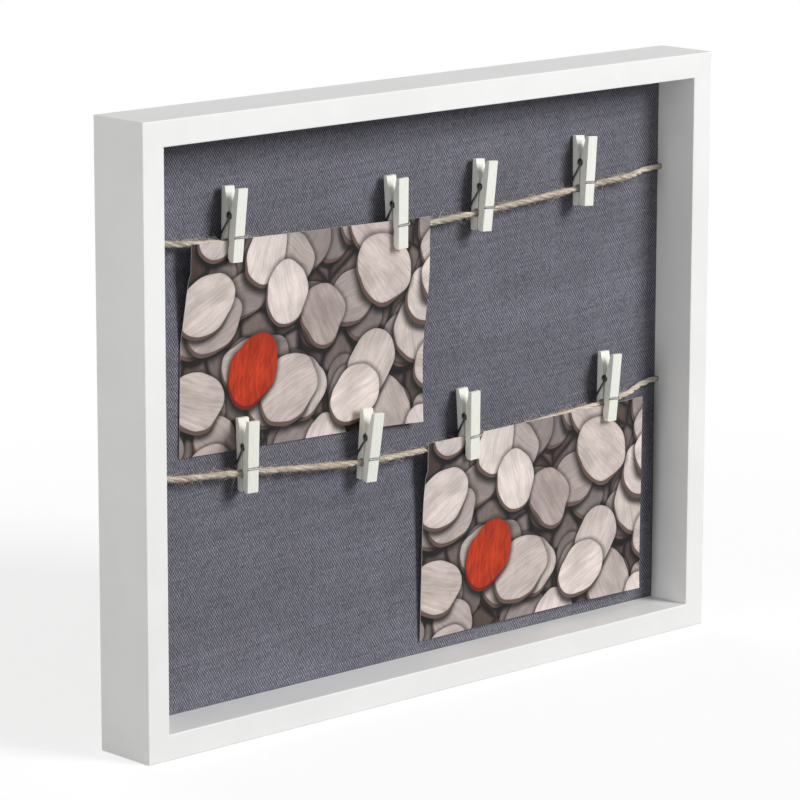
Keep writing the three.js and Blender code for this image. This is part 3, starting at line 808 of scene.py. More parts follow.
class Workpiece:
    """One mesh on the bench, shaped in edit mode as by hand."""

    def __init__(self, name: str, primitive: Callable[..., set[str]], **sizes: Any) -> None:
        """Start from a primitive.

        Args:
            name: the piece's name.
            primitive: the operator that adds it.
            sizes: that operator's values.
        """
        self.clear_bench()
        primitive(**sizes)
        self.obj: bpy.types.Object = bpy.context.object
        self.obj.name = name
        self.obj.data.name = name
        bpy.ops.object.transform_apply(location=True, rotation=True, scale=True)

    @staticmethod
    def clear_bench() -> None:
        """Leave nothing selected."""
        bpy.ops.object.select_all(action="DESELECT")

    @classmethod
    def from_object(cls, name: str, obj: bpy.types.Object) -> "Workpiece":
        """Take an object that is there as a workpiece.

        Args:
            name: the name that it gets.
            obj: the object.
        Returns:
            The workpiece.
        """
        piece = cls.__new__(cls)
        piece.obj = obj
        obj.name = name
        obj.data.name = name
        return piece

    @classmethod
    def from_faces(
        cls, name: str, points: np.ndarray, faces: Sequence[Sequence[int]], chart: np.ndarray | None = None
    ) -> "Workpiece":
        """Make a mesh from points and faces.

        Args:
            name: the piece's name.
            points: the places of its vertices.
            faces: the vertices of each face.
            chart: the UV place of each corner of each face.
        Returns:
            The workpiece.
        """
        mesh = bpy.data.meshes.new(name)
        mesh.from_pydata([tuple(point) for point in points.tolist()], [], faces)
        if chart is not None:
            mesh.uv_layers.new(name="strand").data.foreach_set("uv", chart.astype(np.float32).ravel())
        return cls.from_object(name, added(name, mesh))

    def activate(self) -> None:
        """Select this piece alone."""
        self.clear_bench()
        self.obj.select_set(True)
        bpy.context.view_layer.objects.active = self.obj

    @contextmanager
    def picked(self, element: Element, test: Test | None) -> Iterator[None]:
        """Pick elements in edit mode for the operators that follow.

        Args:
            element: vertices, edges or faces.
            test: takes an element's middle and its normal, or an edge's direction. None picks all.
        Yields:
            Nothing, while the elements are picked.
        """
        self.activate()
        bpy.ops.object.mode_set(mode="EDIT")
        bpy.ops.mesh.select_mode(type=element.value)
        bpy.ops.mesh.select_all(action="SELECT" if test is None else "DESELECT")
        if test is not None:
            shape = bmesh.from_edit_mesh(self.obj.data)
            if element is Element.VERTEX:
                found = [(v, v.co, v.normal) for v in shape.verts]
            elif element is Element.EDGE:
                ends = [(e, e.verts[0].co, e.verts[1].co) for e in shape.edges]
                found = [(e, (a + b) / 2, (b - a).normalized()) for e, a, b in ends]
            else:
                found = [(f, f.calc_center_median(), f.normal) for f in shape.faces]
            for part, middle, direction in found:
                part.select_set(test(middle, direction))
            shape.select_flush_mode()
            bmesh.update_edit_mesh(self.obj.data)
        yield
        bpy.ops.object.mode_set(mode="OBJECT")

    def split(self, point: Sequence[float], normal: Sequence[float]) -> None:
        """Add a ring of edges where a plane cuts the piece."""
        with self.picked(Element.FACE, None):
            bpy.ops.mesh.bisect(plane_co=point, plane_no=normal)

    def trim(self, point: Sequence[float], normal: Sequence[float]) -> None:
        """Cut off what lies beyond a plane and close the cut."""
        with self.picked(Element.FACE, None):
            bpy.ops.mesh.bisect(plane_co=point, plane_no=normal, clear_outer=True, use_fill=True)

    def extrude(self, test: Test, by: Sequence[float]) -> None:
        """Pull faces out of the piece."""
        with self.picked(Element.FACE, test):
            bpy.ops.mesh.extrude_region_move(TRANSFORM_OT_translate={"value": by})

    def move(self, test: Test, by: Sequence[float]) -> None:
        """Move vertices."""
        with self.picked(Element.VERTEX, test):
            bpy.ops.transform.translate(value=by)

    def clean(self) -> None:
        """Take out edges that part nothing, and make the faces point outwards."""
        with self.picked(Element.FACE, None):
            bpy.ops.mesh.dissolve_limited(angle_limit=FLAT)
            bpy.ops.mesh.select_all(action="SELECT")
            bpy.ops.mesh.normals_make_consistent(inside=False)

    def round_edges(self, test: Test, radius: float, segments: int = 3) -> None:
        """Round edges of the piece."""
        with self.picked(Element.EDGE, test):
            bpy.ops.mesh.bevel(offset=radius, offset_type="OFFSET", segments=segments, affect="EDGES")

    def modify(self, kind: str, **settings: Any) -> None:
        """Add a modifier and apply it.

        Args:
            kind: its type.
            settings: its values.
        """
        self.activate()
        modifier = self.obj.modifiers.new(kind.lower(), kind)
        for key, setting in settings.items():
            setattr(modifier, key, setting)
        bpy.ops.object.modifier_apply(modifier=modifier.name)

    def cut(self, cutter: "Workpiece") -> None:
        """Take another workpiece out of this one, and throw that one away."""
        self.modify("BOOLEAN", operation="DIFFERENCE", solver="EXACT", object=cutter.obj)
        cutter.discard()

    def discard(self) -> None:
        """Throw the piece and its mesh away."""
        mesh = self.obj.data
        bpy.data.objects.remove(self.obj)
        bpy.data.meshes.remove(mesh)

    def smooth(self, angle: float = 35.0) -> None:
        """Shade the piece smooth up to an angle in degrees."""
        self.activate()
        bpy.ops.object.shade_smooth_by_angle(angle=math.radians(angle))

    def place(self, matrix: Matrix) -> None:
        """Put the mesh in its place, with the object left at the origin."""
        self.obj.data.transform(matrix)
        self.obj.data.update()

    def copy(self, name: str) -> "Workpiece":
        """Return a copy with its own mesh."""
        return Workpiece.from_object(name, added(name, self.obj.data.copy()))

    def paint(self, *materials: bpy.types.Material) -> None:
        """Give the mesh its materials, in the order of its faces' slots."""
        for material in materials:
            self.obj.data.materials.append(material)

    def dress(
        self, slot: str, *materials: bpy.types.Material, replaces: Sequence[str] = ()
    ) -> bpy.types.Object:
        """Give the piece its finish.

        Args:
            slot: a slot name, which is not used.
            materials: the materials that it doesn't have yet.
            replaces: the solids that it stands for.
        Returns:
            The finished object.
        """
        self.paint(*materials)
        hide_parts(*replaces)
        LOG.info("%s: %d faces", self.obj.name, len(self.obj.data.polygons))
        return self.obj


class Axis(Enum):
    """The axis of a round cutter, as the turn that brings it there."""

    X = (0.0, math.pi / 2, 0.0)
    Z = (0.0, 0.0, 0.0)


def bar(
    name: str, radius: float, length: float, middle: Sequence[float], axis: Axis, sides: int = 32
) -> Workpiece:
    """Make a round cutter.

    Args:
        name: its name.
        radius: its radius.
        length: its length.
        middle: its middle.
        axis: the axis that it lies along.
        sides: how many sides it has.
    Returns:
        The cutter.
    """
    sizes = {"vertices": sides, "radius": radius, "depth": length}
    add = bpy.ops.mesh.primitive_cylinder_add
    return Workpiece(name, add, location=middle, rotation=axis.value, **sizes)


def block(name: str, low: Sequence[float], high: Sequence[float]) -> Workpiece:
    """Make a block.

    Args:
        name: its name.
        low: its lowest corner.
        high: its highest corner.
    Returns:
        The block.
    """
    piece = Workpiece(name, bpy.ops.mesh.primitive_cube_add, size=1.0)
    sizes = [b - a for a, b in zip(low, high)]
    middle = [(a + b) / 2 for a, b in zip(low, high)]
    piece.place(Matrix.Translation(middle) @ Matrix.Diagonal((*sizes, 1.0)))
    return piece


def grid(name: str, columns: int, rows: int) -> Workpiece:
    """Return a flat grid with sides of 1."""
    cells = {"x_subdivisions": columns, "y_subdivisions": rows}
    return Workpiece(name, bpy.ops.mesh.primitive_grid_add, size=1.0, **cells)


# Sub-assemblies


@dataclass(frozen=True)
class Layout:
    """Sizes that the sub-assemblies share, as the solids have them."""

    width: float = 0.375
    height: float = 0.3
    depth: float = 0.035
    face: float = 0.0125
    recess: float = 0.025
    rebate: float = 0.005
    fit: float = 0.0003
    cloth: float = 0.0006
    board: float = 0.003
    clearance: float = 0.0008
    twine: float = 0.0022
    paper: float = 0.0003
    standoff: float = 0.008
    anchor_standoff: float = 0.002
    upper_anchor: float = 0.24
    lower_anchor: float = 0.129

    @property
    def front(self) -> float:
        """Return the front plane of the rails."""
        return -self.depth / 2

    @property
    def back(self) -> float:
        """Return the back plane of the rails."""
        return self.depth / 2

    @property
    def cloth_front(self) -> float:
        """Return the front plane of the cloth."""
        return self.front + self.recess

    @property
    def hem_back(self) -> float:
        """Return the back plane of the cloth's hem."""
        return self.cloth_front + self.board + 2 * self.cloth

    @property
    def wall(self) -> float:
        """Return the thickness of a rail behind the ledge."""
        return self.face - self.rebate

    @property
    def opening(self) -> float:
        """Return half the width of the opening."""
        return self.width / 2 - self.face

    @property
    def twine_behind(self) -> float:
        """Return how far a twine lies behind the middle plane of its pegs."""
        return self.paper / 2 + self.fit + self.twine / 2

    @property
    def peg_plane(self) -> float:
        """Return the middle plane of an upright peg."""
        return self.cloth_front - self.standoff

    @property
    def twine_plane(self) -> float:
        """Return the plane of the twines between the pegs."""
        return self.peg_plane + self.twine_behind


class Side(Enum):
    """A rail: its name, its place in halves of the frame's width and height, and its quarter turns."""

    BOTTOM = ("bottom", 0, 0, 0)
    RIGHT = ("right", 1, 1, -1)
    TOP = ("top", 0, 2, 2)
    LEFT = ("left", -1, 1, 1)


@dataclass
class BoxFrame:
    """Four mitred rails with a rebate behind the ledge that the panel lies against."""

    layout: Layout
    paint: bpy.types.Material
    mitre_gap: float = 0.00004
    edge_radius: float = 0.0005
    anchor_depth: float = 0.008
    nail_inset: float = 0.0032
    nail_thickness: float = 0.0006
    nail_leg: float = 0.006
    nail_depth: float = 0.008
    point_width: float = 0.008
    point_thickness: float = 0.0005
    point_grip: float = 0.004
    point_from_corner: float = 0.08

    def profile(self, half: float) -> Workpiece:
        """Model a rail lying along X with its outer face at the height of 0.

        Args:
            half: half its length.
        Returns:
            The rail, without slots and holes.
        """
        layout = self.layout
        piece = block("rail_pattern", (-half, layout.front, 0.0), (half, layout.cloth_front, layout.face))
        piece.split((0.0, 0.0, layout.wall), (0.0, 0.0, 1.0))
        piece.extrude(
            lambda middle, normal: normal.y > MOSTLY and middle.z < layout.wall,
            (0.0, layout.back - layout.cloth_front, 0.0),
        )
        for end in (-1.0, 1.0):
            piece.trim((end * (half - self.mitre_gap / 2), 0.0, 0.0), (end, 0.0, 1.0))
        piece.clean()

        def outer_edge(middle: Vector, direction: Vector) -> bool:
            """Tell the long edges apart from the mitres and from the corner of the rebate."""
            corner = abs(middle.y - layout.cloth_front) < NEAR and abs(middle.z - layout.wall) < NEAR
            return abs(direction.x) > MOSTLY and not corner

        piece.round_edges(outer_edge, self.edge_radius)
        return piece

    def slots(self, half: float) -> Iterator[Workpiece]:
        """Make the cutters for the corner nails and the points of a rail.

        Args:
            half: half the rail's length.
        Yields:
            The cutters, one by one.
        """
        fit, back = self.layout.fit, self.layout.back
        near, far = self.nail_inset - fit, self.nail_inset + self.nail_thickness + fit
        end = self.nail_inset + self.nail_leg + fit
        foot = back - self.nail_depth - fit
        seat = self.layout.hem_back
        grip = self.layout.wall - self.point_grip - fit
        reach = self.point_width / 2 + fit
        for side in (-1.0, 1.0):
            for long, tall in ((end, far), (far, end)):
                places = sorted((side * (half - near), side * (half - long)))
                yield block("nail_slot", (places[0], foot, near), (places[1], back + fit, tall))
            middle = side * (half - self.point_from_corner)
            yield block(
                "point_slot",
                (middle - reach, seat - fit, grip),
                (middle + reach, seat + self.point_thickness + fit, self.layout.wall + fit),
            )

    def build(self) -> None:
        """Model a lying and a standing rail, and put copies of them in the four places."""
        layout = self.layout
        patterns = []
        for long in (layout.width, layout.height):
            patterns.append(self.profile(long / 2))
            for cutter in self.slots(long / 2):
                patterns[-1].cut(cutter)
        lying, standing = patterns
        for side in Side:
            label, across, up, quarters = side.value
            piece = (standing if across else lying).copy(label + "_rail_painted")
            for anchor in (layout.upper_anchor, layout.lower_anchor) if across else ():
                depth_place = layout.cloth_front - layout.anchor_standoff
                middle = (across * (anchor - layout.height / 2), depth_place, layout.face)
                radius = layout.twine / 2 + layout.fit
                piece.cut(bar("anchor_hole", radius, 2 * self.anchor_depth, middle, Axis.Z))
            place = Matrix.Translation((across * layout.width / 2, 0.0, up * layout.height / 2))
            piece.place(place @ Matrix.Rotation(quarters * math.pi / 2, 4, "Y"))
            piece.smooth()
            piece.modify("WEIGHTED_NORMAL", keep_sharp=True)
            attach(piece.dress("white_paint", self.paint, replaces=[label + "_rail"]), ROOT)
        for pattern in patterns:
            pattern.discard()


@dataclass
class Panel:
    """Cloth stretched over the board, its hem turned over the back."""

    layout: Layout
    cloth: bpy.types.Material
    hem: float = 0.015
    fold_radius: float = 0.0008
    columns: int = 72
    rows: int = 57
    ragged: float = 0.0006
    pressed: float = 0.9
    seed: int = 11

    def build(self) -> None:
        """Make the cloth."""
        layout = self.layout
        half_width = layout.width / 2 - layout.wall - layout.clearance
        half_height = layout.height / 2 - layout.wall - layout.clearance
        middle = layout.height / 2
        piece = grid("cloth", self.columns, self.rows)
        size = Matrix.Diagonal((2 * half_width, 2 * half_height, 1.0, 1.0))
        upright = Matrix.Rotation(math.pi / 2, 4, "X") @ size
        piece.place(Matrix.Translation((0.0, layout.cloth_front, middle)) @ upright)

        def rim(place: Vector, _: Vector) -> bool:
            """Tell the border of the front."""
            return abs(place.x) > half_width - NEAR or abs(place.z - middle) > half_height - NEAR

        turn = layout.hem_back - layout.cloth_front
        with piece.picked(Element.EDGE, rim):
            bpy.ops.mesh.extrude_edges_move(TRANSFORM_OT_translate={"value": (0.0, turn, 0.0)})
            bpy.ops.mesh.extrude_edges_move(TRANSFORM_OT_translate={"value": (0.0, 0.0, 0.0)})
            shrink = (1.0 - self.hem / half_width, 1.0, 1.0 - self.hem / half_height)
            bpy.ops.transform.resize(value=shrink, center_override=(0.0, layout.hem_back, middle))

        def fold(place: Vector, direction: Vector) -> bool:
            """Tell the two folds round the edge of the board."""
            return rim(place, direction) and abs(direction.y) < MOSTLY

        piece.round_edges(fold, self.fold_radius)
        self.fray(piece, half_width - self.hem, half_height - self.hem)
        piece.modify("SOLIDIFY", thickness=layout.cloth * self.pressed, offset=-1.0)
        piece.smooth(angle=60.0)
        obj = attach(piece.dress("blue_grey_cloth", self.cloth, replaces=["fabric_cover"]), ROOT)

    def fray(self, piece: Workpiece, half_width: float, half_height: float) -> None:
        """Make the raw edge of the hem a little uneven.

        Args:
            piece: the cloth.
            half_width: from the middle to the raw edge, across.
            half_height: the same, upwards.
        """
        draw = random.Random(self.seed)
        middle = self.layout.height / 2
        for vertex in piece.obj.data.vertices:
            place = vertex.co
            inner = abs(place.x) < half_width + NEAR and abs(place.z - middle) < half_height + NEAR
            if inner and place.y > self.layout.hem_back - NEAR:
                place.x += draw.uniform(-self.ragged, self.ragged)
                place.z += draw.uniform(-self.ragged, self.ragged)


@dataclass
class Hardware:
    """The board and the plated pieces behind it, which keep the solids' shapes."""

    board: bpy.types.Material
    zinc: bpy.types.Material

    def dress(self) -> None:
        """Give each solid its finish."""
        for name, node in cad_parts.items():
            if name == "backing_board":
                self.coat(node, self.board)
            elif name.startswith(("corner_nail", "point_", "hanger")):
                self.coat(node, self.zinc)

    @staticmethod
    def coat(node: bpy.types.Object, material: bpy.types.Material) -> None:
        """Put a material on a solid.

        Args:
            node: the solid.
            material: its finish.
        """
        node.data.materials.clear()
        node.data.materials.append(material)
        LOG.info("%s: solid kept", node.name)


@dataclass(frozen=True)
class PegPlace:
    """Where a peg hangs: along its twine, with the twine's sag there, and its turns in degrees."""

    name: str
    x: float
    sag: float
    yaw: float
    pitch: float
    roll: float
    carrier: str
    holds: bool

    def matrix(self, layout: Layout, anchor: float) -> Matrix:
        """Place the peg's own axes, whose origin is the middle of the twine.

        Args:
            layout: the sizes.
            anchor: the height of the twine's ends.
        Returns:
            The place of the axes.
        """
        turn = Matrix.Rotation(math.radians(self.yaw), 4, "Z")
        turn @= Matrix.Rotation(math.radians(self.pitch), 4, "X")
        turn @= Matrix.Rotation(math.radians(self.roll), 4, "Y")
        return Matrix.Translation((self.x, layout.twine_plane, anchor - self.sag)) @ turn


# Name, place along the twine, sag, three turns, body that carries it, whether it holds a print
UPPER_PEGS = (
    PegPlace("peg_1", -0.12, 0.0045, 2.0, 1.5, 2.5, "left_print", True),
    PegPlace("peg_2", -0.015, 0.0105, -2.0, 1.5, -3.0, "left_print", True),
    PegPlace("peg_3", 0.042, 0.0085, 0.5, 0.5, 4.0, "peg_3", False),
    PegPlace("peg_4", 0.113, 0.004, -1.0, -3.0, 4.5, "peg_4", False),
)
LOWER_PEGS = (
    PegPlace("peg_5", -0.111, 0.0047, -8.0, 1.5, -1.0, "peg_5", False),
    PegPlace("peg_6", -0.034, 0.0113, -6.0, 6.0, 1.5, "peg_6", False),
    PegPlace("peg_7", 0.034, 0.0109, -2.0, 1.5, -3.0, "right_print", True),
    PegPlace("peg_8", 0.132, 0.0058, -1.5, 1.5, 2.0, "right_print", True),
)


ASKEW = (0.31, 0.53, 0.79)  # a direction that no tube starts in


def headings(points: np.ndarray) -> np.ndarray:
    """Return the direction of a line at each of its points."""
    tangents = np.gradient(points, axis=0)
    return tangents / np.linalg.norm(tangents, axis=1)[:, None]


def distances(points: np.ndarray) -> np.ndarray:
    """Return how far along a line each of its points lies."""
    return np.concatenate([[0.0], np.cumsum(np.linalg.norm(np.diff(points, axis=0), axis=1))])


def tube(points: np.ndarray, radii: np.ndarray, sides: int, ripple: np.ndarray | None = None) -> Tube:
    """Sweep a round section along points.

    Args:
        points: the middle of the tube, one row each.
        radii: its radius at each.
        sides: how many sides it has.
        ripple: a share of the radius for each point and side, or None for a plain tube.
    Returns:
        The vertices, the faces with both ends closed, and a UV place for each corner of each face.
    """
    tangents = headings(points)
    normal = np.cross(tangents[0], ASKEW)
    spokes = []
    for tangent in tangents:
        normal = normal - tangent * normal.dot(tangent)
        normal = normal / np.linalg.norm(normal)
        spokes.append((normal, np.cross(tangent, normal)))
    angles = np.arange(sides) * math.tau / sides
    first, second = (np.array([spoke[i] for spoke in spokes])[:, None, :] for i in (0, 1))
    rings = first * np.cos(angles)[None, :, None] + second * np.sin(angles)[None, :, None]
    reach = radii[:, None] * (1.0 if ripple is None else ripple)
    vertices = (points[:, None, :] + rings * reach[..., None]).reshape(-1, 3)
    along = distances(points)
    faces, chart = [], []
    for i in range(len(points) - 1):
        for k in range(sides):
            after = (k + 1) % sides
            faces.append((i * sides + k, i * sides + after, (i + 1) * sides + after, (i + 1) * sides + k))
            low, high = k / sides, (k + 1) / sides
            chart += [(along[i], low), (along[i], high), (along[i + 1], high), (along[i + 1], low)]
    last = (len(points) - 1) * sides
    faces.append(tuple(reversed(range(sides))))
    faces.append(tuple(range(last, last + sides)))
    chart += [(along[0], 0.0)] * sides + [(along[-1], 0.0)] * sides
    return vertices, faces, np.array(chart)


def joined_tubes(name: str, tubes: Sequence[Tube], draw: random.Random) -> Workpiece:
    """Join tubes to one mesh, each with its own shift on the UV map.

    Args:
        name: the mesh's name.
        tubes: the tubes.
        draw: the source of the shifts.
    Returns:
        The workpiece.
    """
    faces, charts, offset = [], [], 0
    for vertices, quads, chart in tubes:
        faces += [tuple(index + offset for index in quad) for quad in quads]
        charts.append(chart + (draw.random(), draw.random()))
        offset += len(vertices)
    piece = Workpiece.from_faces(name, np.vstack([made[0] for made in tubes]), faces, np.vstack(charts))
    piece.smooth(angle=80.0)
    return piece


@dataclass(frozen=True)
class Strand:
    """The course of a twine: its axis, two directions across it and its radius, point by point."""

    axis: np.ndarray
    up: np.ndarray
    side: np.ndarray
    radius: np.ndarray


@dataclass
class Twine:
    """A three-ply jute twine from one side rail to the other, through its pegs."""

    name: str
    layout: Layout
    anchor: float
    pegs: Sequence[PegPlace]
    jute: bpy.types.Material
    hidden: tuple[float, float]
    seed: int
    anchor_depth: float = 0.0077
    lies: float = 0.012
    turns: float = 0.014
    levels: float = 0.008
    plies: int = 3
    lay_length: float = 0.019
    pinch: float = 0.93
    swell: float = 0.34
    push: float = 0.0004
    jaw_reach: float = 0.0035
    swells_in: float = 0.006
    rail_reach: float = 0.003
    sides: int = 9
    step: float = 0.0007
    fibres: int = 760
    fibre_radius: float = 0.00008
    fibre_sides: int = 3
    span_steps: int = 60
    wander: float = 0.25
    wander_every: int = 12
    ply_offset: float = 0.44
    ply_radius: float = 0.58
    lumps: float = 0.08
    lumps_every: int = 5
    roughness: float = 0.07
    stray_steps: int = 7
    stray_length: tuple[float, float] = (0.002, 0.007)
    stray_rise: tuple[float, float] = (0.0003, 0.0016)
    stray_droop: tuple[float, float] = (-0.0018, 0.0014)
    stray_start: float = 0.4
    high_share: float = 0.2
    high_rise: float = 2.2
    loop_share: float = 0.3
    wrap_share: float = 0.4
    wrap_steps: tuple[int, int] = (8, 18)
    wrap_turns: tuple[float, float] = (0.5, 1.3)
    wrap_lift: tuple[float, float] = (0.04, 0.3)
    wrap_from_jaw: float = 0.018
    bare_ends: tuple[int, int] = (30, 50)
    bare_jaw: float = 0.0045
    outward_jaw: float = 0.014
    hidden_bare: float = 0.55
    hidden_angles: tuple[float, float] = (-1.0, 0.2)
    rooted: float = 0.9
    cloth_gap: float = 0.0002
    taper: float = 0.45
    fineness: tuple[float, float] = (0.7, 1.25)

    def route(self) -> list[Vector]:
        """Lay the route of the twine.

        Returns:
            The points that it goes through.
        """
        layout = self.layout
        back, front = layout.cloth_front - layout.anchor_standoff, layout.twine_plane
        ends = [layout.opening - self.lies]
        ends += [ends[0] - self.turns, ends[0] - self.turns - self.levels]

        def half(side: float, peg: PegPlace) -> list[Vector]:
            """Lay one end of the route.

            Args:
                side: -1 for the left end, 1 for the right one.
                peg: the peg next to it.
            Returns:
                Its points, from the rail inwards.
            """
            slope = peg.sag / (layout.opening - abs(peg.x))
            sags = [slope * (layout.opening - x) for x in ends]
            rail = [(layout.opening + self.anchor_depth, back, 0.0), (layout.opening, back, 0.0)]
            rest = [(ends[0], back, sags[0]), (ends[1], front, sags[1]), (ends[2], front, sags[2])]
            return [Vector((side * x, y, self.anchor - sag)) for x, y, sag in rail + rest]

        middle = [Vector((peg.x, front, self.anchor - peg.sag)) for peg in self.pegs]
        return half(-1.0, self.pegs[0]) + middle + half(1.0, self.pegs[-1])[::-1]

    def centreline(self) -> np.ndarray:
        """Draw a centripetal curve through the route.

        Returns:
            Close, evenly spaced points on it.
        """
        knots = np.array([tuple(point) for point in self.route()])
        knots = np.vstack([2 * knots[0] - knots[1], knots, 2 * knots[-1] - knots[-2]])
        found = []
        for p0, p1, p2, p3 in zip(knots, knots[1:], knots[2:], knots[3:]):
            t0, t1, t2 = (math.sqrt(np.linalg.norm(b - a)) for a, b in ((p0, p1), (p1, p2), (p2, p3)))
            m1 = ((p1 - p0) / t0 - (p2 - p0) / (t0 + t1) + (p2 - p1) / t1) * t1
            m2 = ((p2 - p1) / t1 - (p3 - p1) / (t1 + t2) + (p3 - p2) / t2) * t1
            t = np.linspace(0.0, 1.0, self.span_steps, endpoint=False)[:, None]
            cubic = (2 * p1 - 2 * p2 + m1 + m2) * t**3 + (3 * p2 - 3 * p1 - 2 * m1 - m2) * t**2
            found.append(cubic + m1 * t + p1)
        fine = np.vstack([*found, knots[-2][None]])
        along = distances(fine)
        even = np.linspace(0.0, along[-1], int(along[-1] / self.step) + 1)
        return np.stack([np.interp(even, along, fine[:, axis]) for axis in range(3)], axis=1)

    def fullness(self, points: np.ndarray) -> np.ndarray:
        """Tell where the twine swells: not in the jaws and not in the rails.

        Args:
            points: its centre line.
        Returns:
            A share from 0 to 1 for each point.
        """
        jaws = np.array([peg.x for peg in self.pegs])
        gap = np.min(np.abs(points[:, 0][:, None] - jaws[None, :]), axis=1)
        from_jaw = (gap - self.jaw_reach) / self.swells_in
        from_rail = (self.layout.opening - np.abs(points[:, 0])) / self.rail_reach
        share = np.clip(np.minimum(from_jaw, from_rail), 0.0, 1.0)
        return share * share * (3 - 2 * share)

    def frames(self, points: np.ndarray) -> tuple[np.ndarray, np.ndarray]:
        """Find two directions across the twine.

        Args:
            points: its centre line.
        Returns:
            The directions at each point.
        """
        tangents = headings(points)
        up = np.cross(np.cross(tangents, (0.0, 0.0, 1.0)), tangents)
        up /= np.linalg.norm(up, axis=1)[:, None]
        return up, np.cross(tangents, up)

    def strand(self, points: np.ndarray) -> Strand:
        """Lay the swollen twine, a little behind the solid where it is thicker.

        Args:
            points: its centre line.
        Returns:
            Its course.
        """
        up, side = self.frames(points)
        fullness = self.fullness(points)
        axis = points + np.outer(fullness, (0.0, self.push, 0.0))
        share = self.pinch + (1.0 + self.swell - self.pinch) * fullness
        return Strand(axis, up, side, self.layout.twine / 2 * share)

    @staticmethod
    def drift(draw: np.random.Generator, count: int, every: int, spread: float) -> np.ndarray:
        """Return a smooth random course about 0, with a new value every few points."""
        knots = np.arange(0, count + every, every)
        return np.interp(np.arange(count), knots, draw.normal(0.0, spread, len(knots)))

    def rope(self, strand: Strand) -> Workpiece:
        """Twist the plies.

        Args:
            strand: the twine's course.
        Returns:
            The plies as one mesh.
        """
        draw = np.random.default_rng(self.seed)
        count = len(strand.axis)
        wander = self.drift(draw, count, self.wander_every, self.wander)
        tubes = []
        for ply in range(self.plies):
            angle = np.arange(count) * self.step * math.tau / self.lay_length + wander
            angle += ply * math.tau / self.plies
            across = strand.up * np.cos(angle)[:, None] + strand.side * np.sin(angle)[:, None]
            middle = strand.axis + across * (strand.radius * self.ply_offset)[:, None]
            lumps = 1.0 + self.drift(draw, count, self.lumps_every, self.lumps)
            ripple = 1.0 + draw.normal(0.0, self.roughness, (count, self.sides))
            tubes.append(tube(middle, strand.radius * self.ply_radius * lumps, self.sides, ripple))
        return joined_tubes(self.name + "_rope", tubes, random.Random(self.seed))

    def stray(self, draw: random.Random, start: np.ndarray, along: np.ndarray, out: np.ndarray) -> np.ndarray:
        """Bend a fibre or a small loop that stands off the twine.

        Args:
            draw: the source of its sizes.
            start: where it starts.
            along: the way along the twine.
            out: the way off the twine.
        Returns:
            Its points.
        """
        long = draw.uniform(*self.stray_length)
        rise = draw.uniform(*self.stray_rise) * (self.high_rise if draw.random() < self.high_share else 1.0)
        t = np.linspace(0.0, 1.0, self.stray_steps)[:, None]
        if draw.random() < self.loop_share:
            return start + along * long * t + out * rise * 4.0 * t * (1.0 - t)
        droop = np.array((0.0, 0.0, draw.uniform(*self.stray_droop)))
        return start + along * long * t + out * rise * (self.stray_start + t) * t + droop * t * t

    def wrapped(self, draw: random.Random, strand: Strand, first: int, angle: float) -> np.ndarray:
        """Wind a loose fibre along the twine.

        Args:
            draw: the source of its sizes.
            strand: the twine's course.
            first: the point where it starts.
            angle: its turn about the twine there.
        Returns:
            Its points.
        """
        count = draw.randint(*self.wrap_steps)
        rows = np.arange(first, first + count)
        twist = self.step * math.tau / self.lay_length * draw.uniform(*self.wrap_turns)
        turn = angle + (rows - first) * twist
        lift = 1.0 + draw.uniform(*self.wrap_lift) * np.sin(np.linspace(0.0, math.pi, count))
        across = strand.up[rows] * np.cos(turn)[:, None] + strand.side[rows] * np.sin(turn)[:, None]
        return strand.axis[rows] + across * (strand.radius[rows] * lift)[:, None]

    def fuzz(self, strand: Strand) -> Workpiece:
        """Scatter the loose and stray fibres.

        Args:
            strand: the twine's course.
        Returns:
            The fibres as one mesh.
        """
        draw = random.Random(self.seed)
        tangents = np.cross(strand.up, strand.side)
        tubes = []
        low, high = self.hidden
        after, before = self.bare_ends
        while len(tubes) < self.fibres:
            i = draw.randrange(after, len(strand.axis) - before)
            x = strand.axis[i][0]
            nearest = min((x - peg.x for peg in self.pegs), key=abs)
            if abs(nearest) < self.bare_jaw or abs(x) > self.layout.opening - self.rail_reach:
                continue
            hidden = low < x < high
            if hidden and draw.random() < self.hidden_bare:
                continue
            angle = draw.uniform(*(self.hidden_angles if hidden else (0.0, math.tau)))
            out = strand.up[i] * math.cos(angle) + strand.side[i] * math.sin(angle)
            free = not hidden and abs(nearest) > self.wrap_from_jaw
            if free and draw.random() < self.wrap_share:
                path = self.wrapped(draw, strand, i, angle)
            else:
                near = abs(nearest) < self.outward_jaw
                way = math.copysign(1.0, nearest) if near else draw.choice((-1.0, 1.0))
                along = tangents[i] * way * math.copysign(1.0, tangents[i][0])
                start = strand.axis[i] + out * strand.radius[i] * self.rooted
                path = self.stray(draw, start, along, out)
            path[:, 1] = np.minimum(path[:, 1], self.layout.cloth_front - self.cloth_gap)
            thin = np.linspace(1.0, self.taper, len(path)) * draw.uniform(*self.fineness)
            tubes.append(tube(path, self.fibre_radius * thin, self.fibre_sides))
        return joined_tubes(self.name + "_fibres", tubes, draw)

    def build(self) -> None:
        points = self.centreline()
        strand = self.strand(points)
        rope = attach(self.rope(strand).dress("jute", self.jute, replaces=[self.name]), ROOT)
        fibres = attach(self.fuzz(strand).dress("jute", self.jute), ROOT)


class Half(Enum):
    """A lever of a peg, and the turn about Z that brings it to its side."""

    REAR = ("rear", 0.0)
    FRONT = ("front", math.pi)


Levers = dict[tuple[Half, bool], Workpiece]


